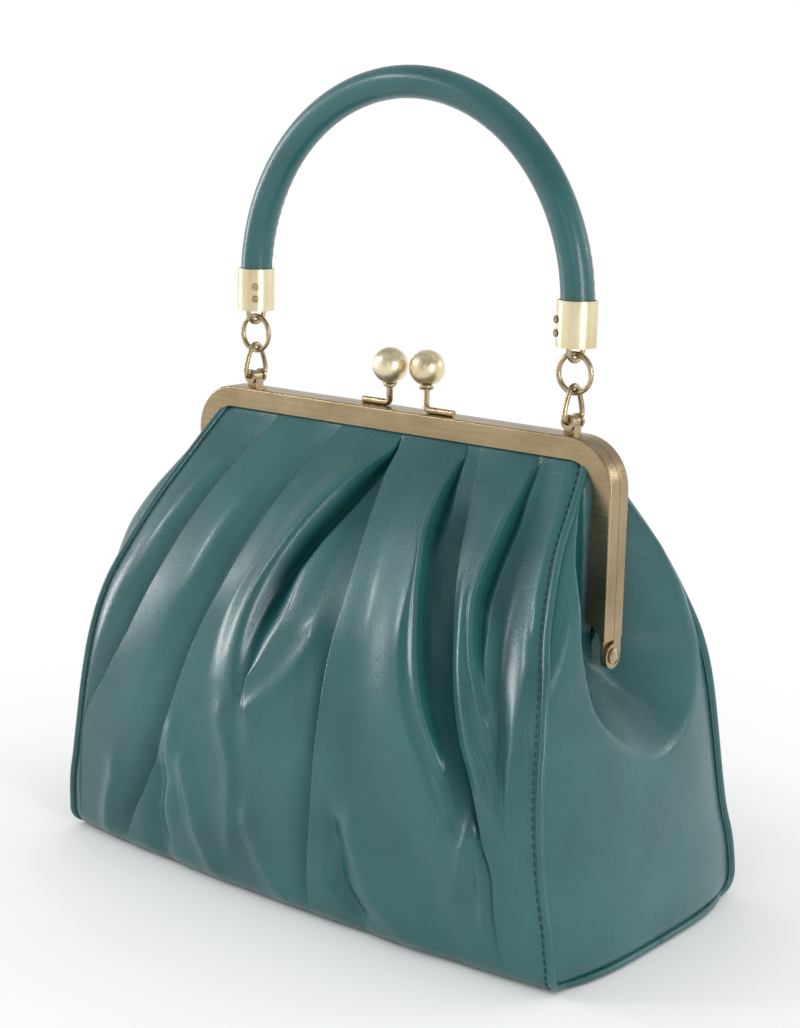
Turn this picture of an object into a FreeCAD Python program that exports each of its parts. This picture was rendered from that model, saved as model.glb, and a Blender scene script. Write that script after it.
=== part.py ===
import FreeCAD, Part
import math
import os
import Sketcher
from FreeCAD import Placement, Rotation, Vector

# Kiss lock frame purse: a soft leather body on a hinged two-half brass frame, with a ball
# clasp on top and a round leather handle on rings.
# Millimetres, +Z up, the front faces -Y. The origin is the middle of the base on the table.

doc = FreeCAD.newDocument("kiss_lock_purse")
sheet = doc.addObject("Spreadsheet::Sheet", "sizes")

SIZES = {
    # Frame: two U-shaped channels that meet at the parting plane
    "frame_width": 200.0,
    "frame_top": 180.6,
    "hinge_height": 103.4,
    "frame_strip": 8.0,
    "frame_corner": 18.0,
    "half_depth": 5.6,
    "parting_gap": 0.2,
    "face_wall": 1.0,
    "rim_wall": 1.2,
    "lip_wall": 0.9,
    "bead_round": 0.8,
    "leg_end": 6.0,
    "leg_scoop": 5.5,
    "cut_overrun": 2.0,
    # Hinge ears and rivets
    "ear_radius": 4.6,
    "ear_wall": 1.2,
    "ear_gap": 0.12,
    "ear_reach": 14.0,
    "rivet_radius": 1.5,
    "rivet_fit": 0.05,
    "rivet_head_radius": 2.9,
    "rivet_head_height": 1.1,
    "rivet_head_gap": 0.08,
    # Leather body
    "base_width": 240.0,
    "body_depth": 120.0,
    "leather": 1.5,
    "nest_gap": 0.5,
    "front_crown": 4.5,
    "pleat_rise": 3.0,
    "pleat_drop": 4.0,
    "gusset_crown": 1.6,
    "valley_depth": 19.5,
    "valley_half_width": 18.0,
    "hinge_relief": 9.0,
    "split_gap": 0.4,
    "seam_tuck": 6.0,
    "channel_room": 0.2,
    # Piping along the gusset seams
    "piping_radius": 1.2,
    "piping_set": 0.8,
    "seam_room": 0.3,
    # Base and lining
    "base_leather": 1.6,
    "base_corner": 9.0,
    "base_room": 0.8,
    "board_thickness": 2.2,
    "lining": 0.7,
    "lining_gap": 0.3,
    "lining_height": 66.0,
    # Paper cord pressed into each frame channel
    "cord_radius": 0.8,
    # Clasp
    "ball_radius": 6.75,
    "ball_pass": 0.4,
    "ball_cross": 2.4,
    "ball_rise": 16.3,
    "clasp_shift": 4.2,
    "clasp_rod_radius": 1.25,
    "clasp_foot_length": 13.0,
    "clasp_foot_side": 1.7,
    "clasp_foot_out": 3.2,
    "clasp_elbow": 2.4,
    "clasp_sink": 1.2,
    "collar_radius": 1.9,
    "collar_wire": 0.8,
    # Rings between the frame and the handle
    "lug_inset": 23.0,
    "wire_radius": 1.0,
    "link_gap": 0.5,
    "lug_side": 3.0,
    "lug_rise": 3.9,
    "lug_radius": 2.3,
    "lug_band_radius": 2.8,
    "lug_band": 1.2,
    "lug_length": 7.0,
    "lug_foot": 4.4,
    "pivot_fit": 0.08,
    "ring_half_width": 5.5,
    "ring_rise": 12.8,
    "ring_bend": 1.6,
    "ring_end": 2.2,
    "jump_radius": 6.9,
    "jump_slit": 0.35,
    "jump_slit_angle": 120.0,
    # Handle
    "loop_half_width": 4.3,
    "loop_drop": 5.0,
    "ferrule_radius": 7.3,
    "ferrule_wall": 0.7,
    "ferrule_floor": 1.4,
    "ferrule_length": 16.5,
    "handle_radius": 6.3,
    "handle_core": 4.6,
    "handle_fit": 0.1,
    "arm_rise": 13.0,
    "screw_radius": 0.8,
    "screw_head": 1.15,
    "screw_head_height": 0.5,
    "screw_length": 2.4,
    "screw_low": 4.6,
    "screw_pitch": 5.4,
    "screw_turn": 40.0,
}

# The handle spans the two lugs, which sit in from the frame's sides.
DERIVED = {
    "handle_span": "=frame_width - 2 * lug_inset",
}

ALIASES = {**SIZES, **DERIVED}
for row, (alias, content) in enumerate(ALIASES.items(), start=1):
    sheet.set(f"A{row}", alias)
    sheet.set(f"B{row}", str(content))
    sheet.setAlias(f"B{row}", alias)
doc.recompute()

# Shares that shape the leather. The lower rows follow the hinge height, the upper rows run
# from the hinge to the frame's lower edge.
LOWER_RISE_SHARES = (0.0, 0.05, 0.12, 0.3, 0.5, 0.7, 0.8, 0.9, 1.0)
LOWER_WIDTH_SHARES = (0.975, 0.997, 1.0, 0.973, 0.95, 0.934, 0.925, 0.916, 0.906)
LOWER_DEPTH_SHARES = (0.93, 0.975, 0.995, 1.01, 1.005, 0.97, 0.945, 0.905, 0.855)
VALLEY_SHARES = (0.0, 0.0, 0.0, 0.0, 0.0, 0.06, 0.3, 0.66, 1.0)
UPPER_RISE_SHARES = (0.0, 0.12, 0.25, 0.4, 0.55, 0.7, 0.85, 0.95, 1.0)
UPPER_WIDTH_SHARES = (0.0, 0.11, 0.24, 0.38, 0.53, 0.68, 0.84, 0.95, 1.0)
UPPER_DEPTH_SHARES = (0.0, 0.09, 0.2, 0.34, 0.49, 0.665, 0.857, 0.968, 1.0)
NEST_SHARES = (1.0, 0.75, 0.4, 0.1, 0.0, 0.0, 0.0, 0.0, 0.0)
# Three pleats gather each upper panel. Their places are shares of the panel's half width, row by
# row, and each is a ridge with a valley beside it.
PLEAT_SHARES = (
    (-0.285, -0.28, -0.26, -0.235, -0.17, -0.09, -0.02, 0.02, 0.03),
    (0.48, 0.445, 0.415, 0.39, 0.375, 0.365, 0.38, 0.4, 0.405),
    (0.72, 0.695, 0.68, 0.675, 0.68, 0.7, 0.725, 0.75, 0.755),
)
PLEAT_RISE_SHARES = (0.0, 0.6, 1.0, 1.0, 1.0, 0.9, 0.65, 0.2, 0.0)
PLEAT_DROP_SHARES = (0.0, 0.8, 1.0, 1.0, 1.0, 0.9, 0.6, 0.2, 0.0)
PLEAT_LEAD_SHARE = 0.07
PLEAT_STEP_SHARE = 0.065
PLEAT_REST_SHARE = 0.14
WING_ROWS = 7
WING_SHARES = (0.0, 0.25, 0.5, 0.75, 1.0)
WING_BULGE_SHARE = 0.5
RIDGE_SHARE = 0.48
SHOULDER_SHARE = 0.76
VALLEY_FLANK_SHARES = (0.55, 0.86)
VALLEY_FLANK_DEPTH_SHARES = (0.5, 0.12)
PANEL_SHARES = (-1.0, -0.6, 0.0, 0.6, 1.0)
LINING_SHARES = (0.0, 0.5, 1.0)
TOLERANCE = 1e-6

FRONT = -1
REAR = 1
LEFT = -1
RIGHT = 1
HALVES = {"front": FRONT, "rear": REAR}
SIDES = {"left": LEFT, "right": RIGHT}
nodes = {}


def size(alias):
    """A driving size from the sheet, in millimetres."""
    return float(sheet.get(alias))


def keep(name, item):
    """Register a document object as the sub-part of this name."""
    item.Label = name
    nodes[name] = item
    return item


def bind(item, **formulas):
    """Bind properties of an object to formulas of alias names."""
    for prop, formula in formulas.items():
        item.setExpression(prop, cells(formula))
    return item


def cells(formula):
    """Write a formula of alias names as one of sheet cells."""
    words = formula.split()
    return " ".join("sizes." + word if word in ALIASES else word for word in words)


def place(item, spot):
    """Bind an object's position to three formulas."""
    for axis, formula in zip("xyz", spot):
        item.setExpression(f"Placement.Base.{axis}", cells(formula))
    return item


def box(name, lengths, spot):
    """A block with bound sides and a bound low corner."""
    item = doc.addObject("Part::Box", name)
    bind(item, Length=lengths[0], Width=lengths[1], Height=lengths[2])
    return place(item, spot)


def rod(name, radius, height, spot, along):
    """A cylinder that starts at a bound spot and runs along a direction."""
    item = bind(doc.addObject("Part::Cylinder", name), Radius=radius, Height=height)
    item.Placement = Placement(Vector(), Rotation(Vector(0, 0, 1), Vector(*along)))
    return place(item, spot)


def cut(name, base, *tools):
    """Take the tools away from the base, one after the other."""
    for index, tool in enumerate(tools):
        item = doc.addObject("Part::Cut", f"{name}_cut{index}")
        item.Base = base
        item.Tool = tool
        base = item
    return base


def fuse(name, *shapes):
    """Join pieces that are one piece of metal."""
    item = doc.addObject("Part::MultiFuse", name)
    item.Shapes = list(shapes)
    item.Refine = True
    return item


def rounded(name, base, radius, chooses):
    """Fillet the edges of an object that a test picks."""
    doc.recompute()
    picked = [i for i, edge in enumerate(base.Shape.Edges, start=1) if chooses(edge)]
    item = doc.addObject("Part::Fillet", name)
    item.Base = base
    item.Edges = [(i, radius, radius) for i in picked]
    doc.recompute()
    return item


def feature(name, shape):
    """A freely shaped sub-part whose sizes were read from the sheet."""
    item = doc.addObject("Part::Feature", name)
    item.Shape = shape
    return item


def plane_of(body, role):
    """One of a body's own origin planes."""
    return [plane for plane in body.Origin.OriginFeatures if plane.Role == role][0]


def outline(body, name, role, corners):
    """A closed sketch of straight lines whose corners are bound to formulas."""
    sketch = body.newObject("Sketcher::SketchObject", name)
    sketch.AttachmentSupport = [(plane_of(body, role), "")]
    sketch.MapMode = "FlatFace"
    worked = []
    for across, along in corners:
        worked.append(Vector(solve(across), solve(along), 0))
    count = len(worked)
    for i in range(count):
        sketch.addGeometry(Part.LineSegment(worked[i], worked[(i + 1) % count]), False)
    for i in range(count):
        sketch.addConstraint(Sketcher.Constraint("Coincident", i, 2, (i + 1) % count, 1))
    for i, corner in enumerate(corners):
        pins = (("DistanceX", corner[0], worked[i].x, -2), ("DistanceY", corner[1], worked[i].y, -1))
        for kind, formula, number, axis in pins:
            if formula == "0":
                sketch.addConstraint(Sketcher.Constraint("PointOnObject", i, 1, axis))
            else:
                index = sketch.addConstraint(Sketcher.Constraint(kind, -1, 1, i, 1, number))
                sketch.setExpression(f"Constraints[{index}]", cells(formula))
    return sketch


def solve(formula):
    """The number that a formula of alias names gives now."""
    return float(sheet.evalExpression(cells(formula)))


def turned(name, corners):
    """A body turned about its own Z axis from a half outline of radius and height."""
    body = doc.addObject("PartDesign::Body", name)
    sketch = outline(body, name + "_outline", "XZ_Plane", corners)
    turn = body.newObject("PartDesign::Revolution", name + "_turn")
    turn.Profile = sketch
    turn.ReferenceAxis = (sketch, ["V_Axis"])
    turn.Angle = 360.0
    return body


def bent_rod(name, path, radius, start, along):
    """A round wire swept along a path of straight runs and tangent arcs."""
    track = feature(name + "_path", Part.Wire(path))
    ring = bind(doc.addObject("Part::Circle", name + "_ring"), Radius=radius)
    ring.Placement = Placement(start, Rotation(Vector(0, 0, 1), along))
    item = doc.addObject("Part::Sweep", name)
    item.Sections = [ring]
    item.Spine = (track, [f"Edge{i}" for i in range(1, len(path) + 1)])
    item.Solid = True
    item.Frenet = False
    return item


def line(start, end):
    return Part.LineSegment(start, end).toShape()


def arc(start, middle, end):
    return Part.Arc(start, middle, end).toShape()


# Frame halves
def frame_half(half):
    """One U-shaped channel of the frame with its two hinge ears."""
    sign = HALVES[half]
    low_side = "parting_gap / 2" if sign == REAR else "0 - parting_gap / 2 - half_depth"
    leg_foot = "hinge_height + leg_end"
    leg = "frame_top - hinge_height - leg_end"
    top_edge = size("frame_top")

    def upper_corner(edge, top):
        ends = [v.Point for v in edge.Vertexes]
        along_y = abs(abs(ends[0].y - ends[1].y) - edge.Length) < TOLERANCE
        return along_y and all(abs(p.z - top) < TOLERANCE for p in ends)

    outer = box(half + "_outer", ("frame_width", "half_depth", leg),
                ("0 - frame_width / 2", low_side, leg_foot))
    outer = rounded(half + "_outer_round", outer, size("frame_corner"),
                    lambda edge: upper_corner(edge, top_edge))
    inner = box(half + "_inner",
                ("frame_width - 2 * frame_strip", "half_depth + 2 * cut_overrun",
                 leg + " - frame_strip + cut_overrun"),
                ("0 - frame_width / 2 + frame_strip", low_side + " - cut_overrun",
                 leg_foot + " - cut_overrun"))
    inner = rounded(half + "_inner_round", inner, size("frame_corner") - size("frame_strip"),
                    lambda edge: upper_corner(edge, top_edge - size("frame_strip")))
    near_wall = "lip_wall" if sign == REAR else "face_wall"
    channel = box(half + "_channel",
                  ("frame_width - 2 * rim_wall", "half_depth - face_wall - lip_wall",
                   leg + " - rim_wall + cut_overrun"),
                  ("0 - frame_width / 2 + rim_wall", low_side + " + " + near_wall,
                   leg_foot + " - cut_overrun"))
    channel = rounded(half + "_channel_round", channel, size("frame_corner") - size("rim_wall"),
                      lambda edge: upper_corner(edge, top_edge - size("rim_wall")))
    scoops = []
    for side in SIDES.values():
        spot = ("frame_width / 2 - frame_strip", low_side + " - cut_overrun", leg_foot)
        if side == LEFT:
            spot = ("0 - frame_width / 2 + frame_strip",) + spot[1:]
        scoops.append(rod(f"{half}_scoop{side}", "leg_scoop", "half_depth + 2 * cut_overrun",
                          spot, (0, 1, 0)))
    strip = cut(half + "_strip", outer, inner, channel, *scoops)

    face_side = sign * (size("parting_gap") / 2 + size("half_depth"))
    half_width = size("frame_width") / 2

    def outer_bead(edge):
        middle = edge.BoundBox.Center
        on_face = edge.BoundBox.YLength < TOLERANCE and abs(middle.y - face_side) < TOLERANCE
        inside = half_width - size("frame_strip") / 2
        reach = max(abs(edge.BoundBox.XMin), abs(edge.BoundBox.XMax))
        at_top = edge.BoundBox.ZMax > top_edge - size("frame_strip") / 2
        return on_face and (at_top or (reach > inside and edge.BoundBox.XLength < TOLERANCE))

    strip = rounded(half + "_bead", strip, size("bead_round"), outer_bead)
    pieces = [strip]
    for side, hand in SIDES.items():
        pieces += hinge_ear(half, side, sign, hand)
    whole = fuse(half + "_frame_whole", *pieces)
    holes = []
    for side in SIDES:
        holes.append(rod(f"{half}_{side}_rivet_hole", "rivet_radius + rivet_fit",
                         "rim_wall + ear_gap + ear_wall + 2 * cut_overrun",
                         (ear_inside(SIDES[side], "cut_overrun"), "0", "hinge_height"),
                         (SIDES[side], 0, 0)))
    return keep(half + "_frame", cut(half + "_frame_drilled", whole, *holes))


def ear_inside(hand, extra="0"):
    """The inner face of the inner ear on one side, moved inwards by an extra."""
    if hand == RIGHT:
        return "frame_width / 2 - rim_wall - ear_gap - ear_wall - " + extra
    return "0 - frame_width / 2 + rim_wall + ear_gap + ear_wall + " + extra


def hinge_ear(half, side, sign, hand):
    """A round ear below one leg: the rear half's outermost, the front half's just inside it."""
    low_side = "parting_gap / 2" if sign == REAR else "0 - ear_radius"
    if sign == REAR:
        start = "frame_width / 2 - rim_wall" if hand == RIGHT else "0 - frame_width / 2 + rim_wall"
        low = start if hand == RIGHT else "0 - frame_width / 2"
        wall = "rim_wall"
    else:
        start = ear_inside(hand)
        low = start if hand == RIGHT else "0 - frame_width / 2 + rim_wall + ear_gap"
        wall = "ear_wall"
    disc = rod(f"{half}_{side}_ear_disc", "ear_radius", wall, (start, "0", "hinge_height"), (hand, 0, 0))
    neck_height = "leg_end" if sign == REAR else "ear_reach"
    neck = box(f"{half}_{side}_ear_neck", (wall, "ear_radius - parting_gap / 2", neck_height),
               (low, low_side, "hinge_height"))
    if sign == REAR:
        return [disc, neck]
    bridge_low = low if hand == RIGHT else "0 - frame_width / 2 + rim_wall"
    bridge = box(f"{half}_{side}_ear_bridge",
                 ("ear_wall + ear_gap", "ear_radius - parting_gap / 2", "ear_reach - leg_end"),
                 (bridge_low, low_side, "hinge_height + leg_end"))
    return [disc, neck, bridge]


def hinge_rivet(side):
    """A shouldered rivet through both ears, with a domed head outside."""
    hand = SIDES[side]
    grip = "rim_wall + ear_gap + ear_wall + 2 * rivet_head_gap"
    body = turned(side + "_rivet_body", (
        ("0", "0 - rivet_head_height"),
        ("rivet_head_radius", "0 - rivet_head_height"),
        ("rivet_head_radius", "0"),
        ("rivet_radius", "0"),
        ("rivet_radius", grip),
        ("rivet_head_radius", grip),
        ("rivet_head_radius", grip + " + rivet_head_height / 2"),
        ("rivet_radius", grip + " + rivet_head_height"),
        ("0", grip + " + rivet_head_height"),
    ))
    body.Placement = Placement(Vector(), Rotation(Vector(0, 0, 1), Vector(hand, 0, 0)))
    place(body, (ear_inside(hand, "rivet_head_gap"), "0", "hinge_height"))
    return keep(side + "_hinge_rivet", body)


def frame_cord(half):
    """The paper cord that wedges the leather into the channel."""
    sign = HALVES[half]
    y = sign * (size("parting_gap") / 2 + size("lip_wall") + size("channel_room") + size("cord_radius"))
    inset = size("rim_wall") + size("channel_room") + size("cord_radius")
    x = size("frame_width") / 2 - inset
    top = size("frame_top") - inset
    bend = size("frame_corner") - inset
    foot = size("hinge_height") + size("ear_reach") + size("channel_room")
    diagonal = bend * math.sqrt(0.5)
    path = [
        line(Vector(-x, y, foot), Vector(-x, y, top - bend)),
        arc(Vector(-x, y, top - bend), Vector(-x + bend - diagonal, y, top - bend + diagonal),
            Vector(-x + bend, y, top)),
        line(Vector(-x + bend, y, top), Vector(x - bend, y, top)),
        arc(Vector(x - bend, y, top), Vector(x - bend + diagonal, y, top - bend + diagonal),
            Vector(x, y, top - bend)),
        line(Vector(x, y, top - bend), Vector(x, y, foot)),
    ]
    item = bent_rod(half + "_cord_sweep", path, "cord_radius", Vector(-x, y, foot), Vector(0, 0, 1))
    return keep(half + "_frame_cord", item)


# Leather shape
def blend(low, high, share):
    return low + (high - low) * share


def channel_side():
    """How far from the parting plane the leather's outer face lies in the channel."""
    return size("parting_gap") / 2 + size("half_depth") - size("face_wall") - size("channel_room")


def lower_rows():
    """Height, seam half width, seam half depth and valley depth, up to the hinge."""
    rows = []
    for rise, width, depth, valley in zip(LOWER_RISE_SHARES, LOWER_WIDTH_SHARES,
                                          LOWER_DEPTH_SHARES, VALLEY_SHARES):
        rows.append((rise * size("hinge_height"), width * size("base_width") / 2,
                     depth * size("body_depth") / 2, valley * size("valley_depth")))
    return rows


def upper_rows():
    """Height, seam half width, seam half depth and nesting step, from the hinge to the frame."""
    low, wide, deep, valley = lower_rows()[-1]
    low += size("split_gap")
    high = size("frame_top") - size("frame_strip")
    narrow = size("frame_width") / 2 - size("frame_strip") - size("seam_tuck")
    step = size("leather") + size("nest_gap")
    rows = []
    for rise, width, depth, nest in zip(UPPER_RISE_SHARES, UPPER_WIDTH_SHARES,
                                        UPPER_DEPTH_SHARES, NEST_SHARES):
        rows.append((blend(low, high, rise), blend(wide, narrow, width) - nest * step,
                     blend(deep, channel_side(), depth) - nest * step))
    return rows


def seam_inset():
    """Room that the piping takes at each edge of a panel."""
    return size("piping_set") + size("piping_radius") + size("seam_room")


def shifted(points, distance):
    """Move a row of plan points sideways, to the left of its direction of travel."""
    moved = []
    for i, point in enumerate(points):
        before = points[max(i - 1, 0)]
        after = points[min(i + 1, len(points) - 1)]
        along = (after[0] - before[0], after[1] - before[1])
        length = math.hypot(*along)
        moved.append((point[0] - along[1] / length * distance, point[1] + along[0] / length * distance))
    return moved


def curve(points, height):
    """A smooth edge through plan points at one height."""
    spline = Part.BSplineCurve()
    spline.interpolate([Vector(x, y, height) for x, y in points])
    return spline.toShape()


def ribbon(points, height, thickness):
    """A closed strip: the outer row of points, its inner offset and two short ends."""
    inner = shifted(points, thickness)
    first = Vector(points[0][0], points[0][1], height)
    last = Vector(points[-1][0], points[-1][1], height)
    inner_first = Vector(inner[0][0], inner[0][1], height)
    inner_last = Vector(inner[-1][0], inner[-1][1], height)
    return Part.Wire([curve(points, height), line(last, inner_last),
                      curve(list(reversed(inner)), height), line(inner_first, first)])


def panel_points(wide, deep, crown, sign):
    """Plan points of a front or rear panel, from left to right as seen from outside."""
    reach = wide - seam_inset()
    points = []
    for share in PANEL_SHARES:
        points.append((-sign * reach * share, sign * (deep + crown * (1 - share * share))))
    return points


def lower_panel(half):
    """The front or rear leather below the hinge line."""
    sign = HALVES[half]
    wires = []
    for height, wide, deep, valley in lower_rows():
        points = panel_points(wide, deep, size("front_crown"), sign)
        wires.append(ribbon(points, height, size("leather")))
    return keep(half + "_panel", feature(half + "_panel_solid", Part.makeLoft(wires, True, True)))


def pleat_marks(index):
    """Places across an upper row, as shares of its half width, and how far each stands proud."""
    rise = size("pleat_rise") * PLEAT_RISE_SHARES[index]
    drop = size("pleat_drop") * PLEAT_DROP_SHARES[index]
    marks = [(PANEL_SHARES[0], 0.0), (PANEL_SHARES[1], 0.0)]
    for shares in PLEAT_SHARES:
        ridge = shares[index]
        marks.append((ridge - PLEAT_LEAD_SHARE, 0.0))
        marks.append((ridge, rise))
        marks.append((ridge + PLEAT_STEP_SHARE, -drop))
        marks.append((ridge + PLEAT_REST_SHARE, 0.0))
    marks.append((PANEL_SHARES[-1], 0.0))
    return marks


def pleated_edge(row, height):
    """A smooth edge through (x, y, slope) points. Its slopes keep it from swinging past them."""
    way = math.copysign(1, row[-1][0] - row[0][0])
    spline = Part.BSplineCurve()
    spline.interpolate(Points=[Vector(x, y, height) for x, y, slope in row],
                       Tangents=[Vector(way, way * slope, 0) for x, y, slope in row],
                       TangentFlags=[True] * len(row))
    return spline.toShape()


def pleated_ribbon(index, height, wide, deep, crown, sign):
    """A closed strip across a pleated panel, as thick as the leather."""
    reach = wide - seam_inset()
    rows = []
    for depth in (deep, deep - size("leather")):
        row = []
        for share, lift in pleat_marks(index):
            bow = crown * (1 - share * share)
            row.append((-sign * reach * share, sign * (depth + bow + lift), 2 * crown * share / reach))
        rows.append(row)
    outer, inner = rows
    ends = [Vector(row[i][0], row[i][1], height) for row in rows for i in (0, -1)]
    return Part.Wire([pleated_edge(outer, height), line(ends[1], ends[3]),
                      pleated_edge(list(reversed(inner)), height), line(ends[2], ends[0])])


def upper_panel(half):
    """The front or rear leather from the hinge line into the frame's channel, with its pleats."""
    sign = HALVES[half]
    wires = []
    rows = upper_rows()
    for index, (height, wide, deep) in enumerate(rows):
        crown = size("front_crown") * (1 - UPPER_RISE_SHARES[index])
        wires.append(pleated_ribbon(index, height, wide, deep, crown, sign))
    wide = size("frame_width") / 2 - size("frame_corner") + seam_inset()
    height = size("frame_top") - size("rim_wall") - size("channel_room")
    wires.append(pleated_ribbon(len(rows) - 1, height, wide, channel_side(), 0.0, sign))
    solid = Part.makeLoft(wires, True, True)
    return keep(half + "_panel_upper", feature(half + "_panel_upper_solid", solid))


def gusset_points(wide, deep, valley):
    """Plan points of the right gusset from front to rear, with its valley below the hinge."""
    front_row = [(wide, deep - seam_inset())]
    proud = wide + size("gusset_crown")
    front_row.append((proud, SHOULDER_SHARE * deep))
    front_row.append((proud, RIDGE_SHARE * deep))
    for share, depth_share in zip(reversed(VALLEY_FLANK_SHARES), reversed(VALLEY_FLANK_DEPTH_SHARES)):
        front_row.append((proud - valley * depth_share, share * size("valley_half_width")))
    points = [(x, -y) for x, y in front_row]
    points.append((proud - valley, 0.0))
    points += list(reversed(front_row))
    return points


def mirrored(shape):
    return shape.mirror(Vector(), Vector(1, 0, 0))


def hinge_relief(hand):
    """The round room that the hinge ears turn in."""
    low = size("frame_width") / 2 - size("valley_depth")
    length = size("base_width") / 2 - low + size("cut_overrun")
    axis = Vector(hand, 0, 0)
    return Part.makeCylinder(size("hinge_relief"), length, Vector(hand * low, 0, size("hinge_height")), axis)


def lower_gusset(side):
    """A side panel below the hinge line."""
    wires = []
    foot = 2 * size("piping_radius") + size("seam_room")
    for height, wide, deep, valley in lower_rows():
        points = gusset_points(wide, deep, valley)
        wires.append(ribbon(points, max(height, foot), size("leather")))
    solid = Part.makeLoft(wires, True, True)
    if SIDES[side] == LEFT:
        solid = mirrored(solid)
    solid = solid.cut(hinge_relief(SIDES[side]))
    return keep(side + "_gusset", feature(side + "_gusset_solid", solid))


def wing_points(wide, deep):
    """Plan points of the right front gusset wing, from the seam to the frame's leg."""
    seam = (wide, -deep + seam_inset())
    leg = (size("frame_width") / 2 - size("frame_strip") - size("leather"), -channel_side())
    bulge = WING_BULGE_SHARE * (seam[0] - leg[0])
    points = []
    for share in WING_SHARES:
        swell = bulge * math.sin(math.pi * share)
        points.append((blend(seam[0], leg[0], share) + swell, blend(seam[1], leg[1], share)))
    return points


def gusset_wing(half, side):
    """A side panel's upper corner, sewn into one leg of the frame."""
    wires = []
    for height, wide, deep in upper_rows()[:WING_ROWS]:
        wires.append(ribbon(wing_points(wide, deep), height, size("leather")))
    solid = Part.makeLoft(wires, True, True)
    if HALVES[half] == REAR:
        solid = solid.mirror(Vector(), Vector(0, 1, 0))
    if SIDES[side] == LEFT:
        solid = mirrored(solid)
    solid = solid.cut(hinge_relief(SIDES[side]))
    name = f"{half}_{side}_gusset_wing"
    return keep(name, feature(name + "_solid", solid))


# Piping
def ring_wire(centre, along):
    """A circle of the piping, started from the X direction so that rows don't twist."""
    across = Vector(1, 0, 0)
    flat = along.normalize()
    other = flat.cross(across).normalize()
    radius = size("piping_radius")
    start = centre + across * radius
    return Part.Wire([
        arc(start, centre + (across + other).normalize() * radius, centre + other * radius),
        arc(centre + other * radius, centre - across * radius, centre - other * radius),
        arc(centre - other * radius, centre + (across - other).normalize() * radius, start),
    ])


def piping_loft(points):
    """A round cord lofted through the seam's points."""
    wires = []
    for i, point in enumerate(points):
        before = points[max(i - 1, 0)]
        after = points[min(i + 1, len(points) - 1)]
        along = after - before
        along.x = 0.0
        wires.append(ring_wire(point, along))
    return Part.makeLoft(wires, True, True)


def lower_piping(side):
    """One cord down the front seam, under the gusset and up the rear seam."""
    hand = SIDES[side]
    setting = size("piping_set")
    down = []
    for row in reversed(lower_rows()):
        height = max(row[0], size("piping_radius"))
        wide, deep = seam_at(height)
        down.append(Vector(hand * (wide - setting), -(deep - setting), height))
    up = [Vector(point.x, -point.y, point.z) for point in reversed(down)]
    return keep(side + "_piping", feature(side + "_piping_solid", piping_loft(down + up)))


def upper_piping(half, side):
    """The same seam's cord above the hinge line."""
    sign = HALVES[half]
    hand = SIDES[side]
    setting = size("piping_set")
    points = []
    for height, wide, deep in upper_rows()[:WING_ROWS]:
        lift = size("piping_radius")
        points.append(Vector(hand * (wide - setting), sign * (deep - setting), height + lift))
    name = f"{half}_{side}_piping_upper"
    return keep(name, feature(name + "_solid", piping_loft(points)))


# Base and lining
def base_plate(name, thickness, height, inset):
    """A flat rounded plate inside the foot of the walls."""
    row = lower_rows()[0]
    half_width = row[1] - size("leather") - size("base_room") - inset
    half_depth = row[2] - size("leather") - size("base_room") - inset
    plate = Part.makeBox(2 * half_width, 2 * half_depth, thickness, Vector(-half_width, -half_depth, height))
    upright = [edge for edge in plate.Edges if abs(edge.BoundBox.ZLength - thickness) < TOLERANCE]
    return keep(name, feature(name + "_solid", plate.makeFillet(size("base_corner"), upright)))


def lining():
    """The fabric bag inside the lower walls, open at its top."""
    gap = size("leather") + size("lining_gap")
    floor = size("base_leather") + size("board_thickness") + 2 * size("lining_gap")
    outer_rows = []
    inner_rows = []
    high = size("lining_height")
    for share in LINING_SHARES:
        height = blend(floor, high, share)
        wide, deep = seam_at(height)
        corner = size("base_corner")
        outer_rows.append(round_plan(wide - gap, deep - gap, corner, height))
        inside = gap + size("lining")
        inner_height = blend(floor + size("lining"), high + size("cut_overrun"), share)
        inner_rows.append(round_plan(wide - inside, deep - inside, corner - size("lining"), inner_height))
    solid = Part.makeLoft(outer_rows, True, True).cut(Part.makeLoft(inner_rows, True, True))
    return keep("lining", feature("lining_solid", solid))


def seam_at(height):
    """Seam half width and half depth at any height below the hinge."""
    rows = lower_rows()
    for low, high in zip(rows, rows[1:]):
        if height <= high[0]:
            share = (height - low[0]) / (high[0] - low[0])
            return blend(low[1], high[1], share), blend(low[2], high[2], share)
    return rows[-1][1], rows[-1][2]


def round_plan(half_width, half_depth, corner, height):
    """A rounded rectangle in plan."""
    plate = Part.makePlane(2 * half_width, 2 * half_depth, Vector(-half_width, -half_depth, height))
    block = plate.extrude(Vector(0, 0, corner))
    upright = [edge for edge in block.Edges if abs(edge.BoundBox.ZLength - corner) < TOLERANCE]
    block = block.makeFillet(corner, upright)
    floors = [face for face in block.Faces if face.BoundBox.ZMax < height + corner / 2]
    return floors[0].OuterWire


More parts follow.
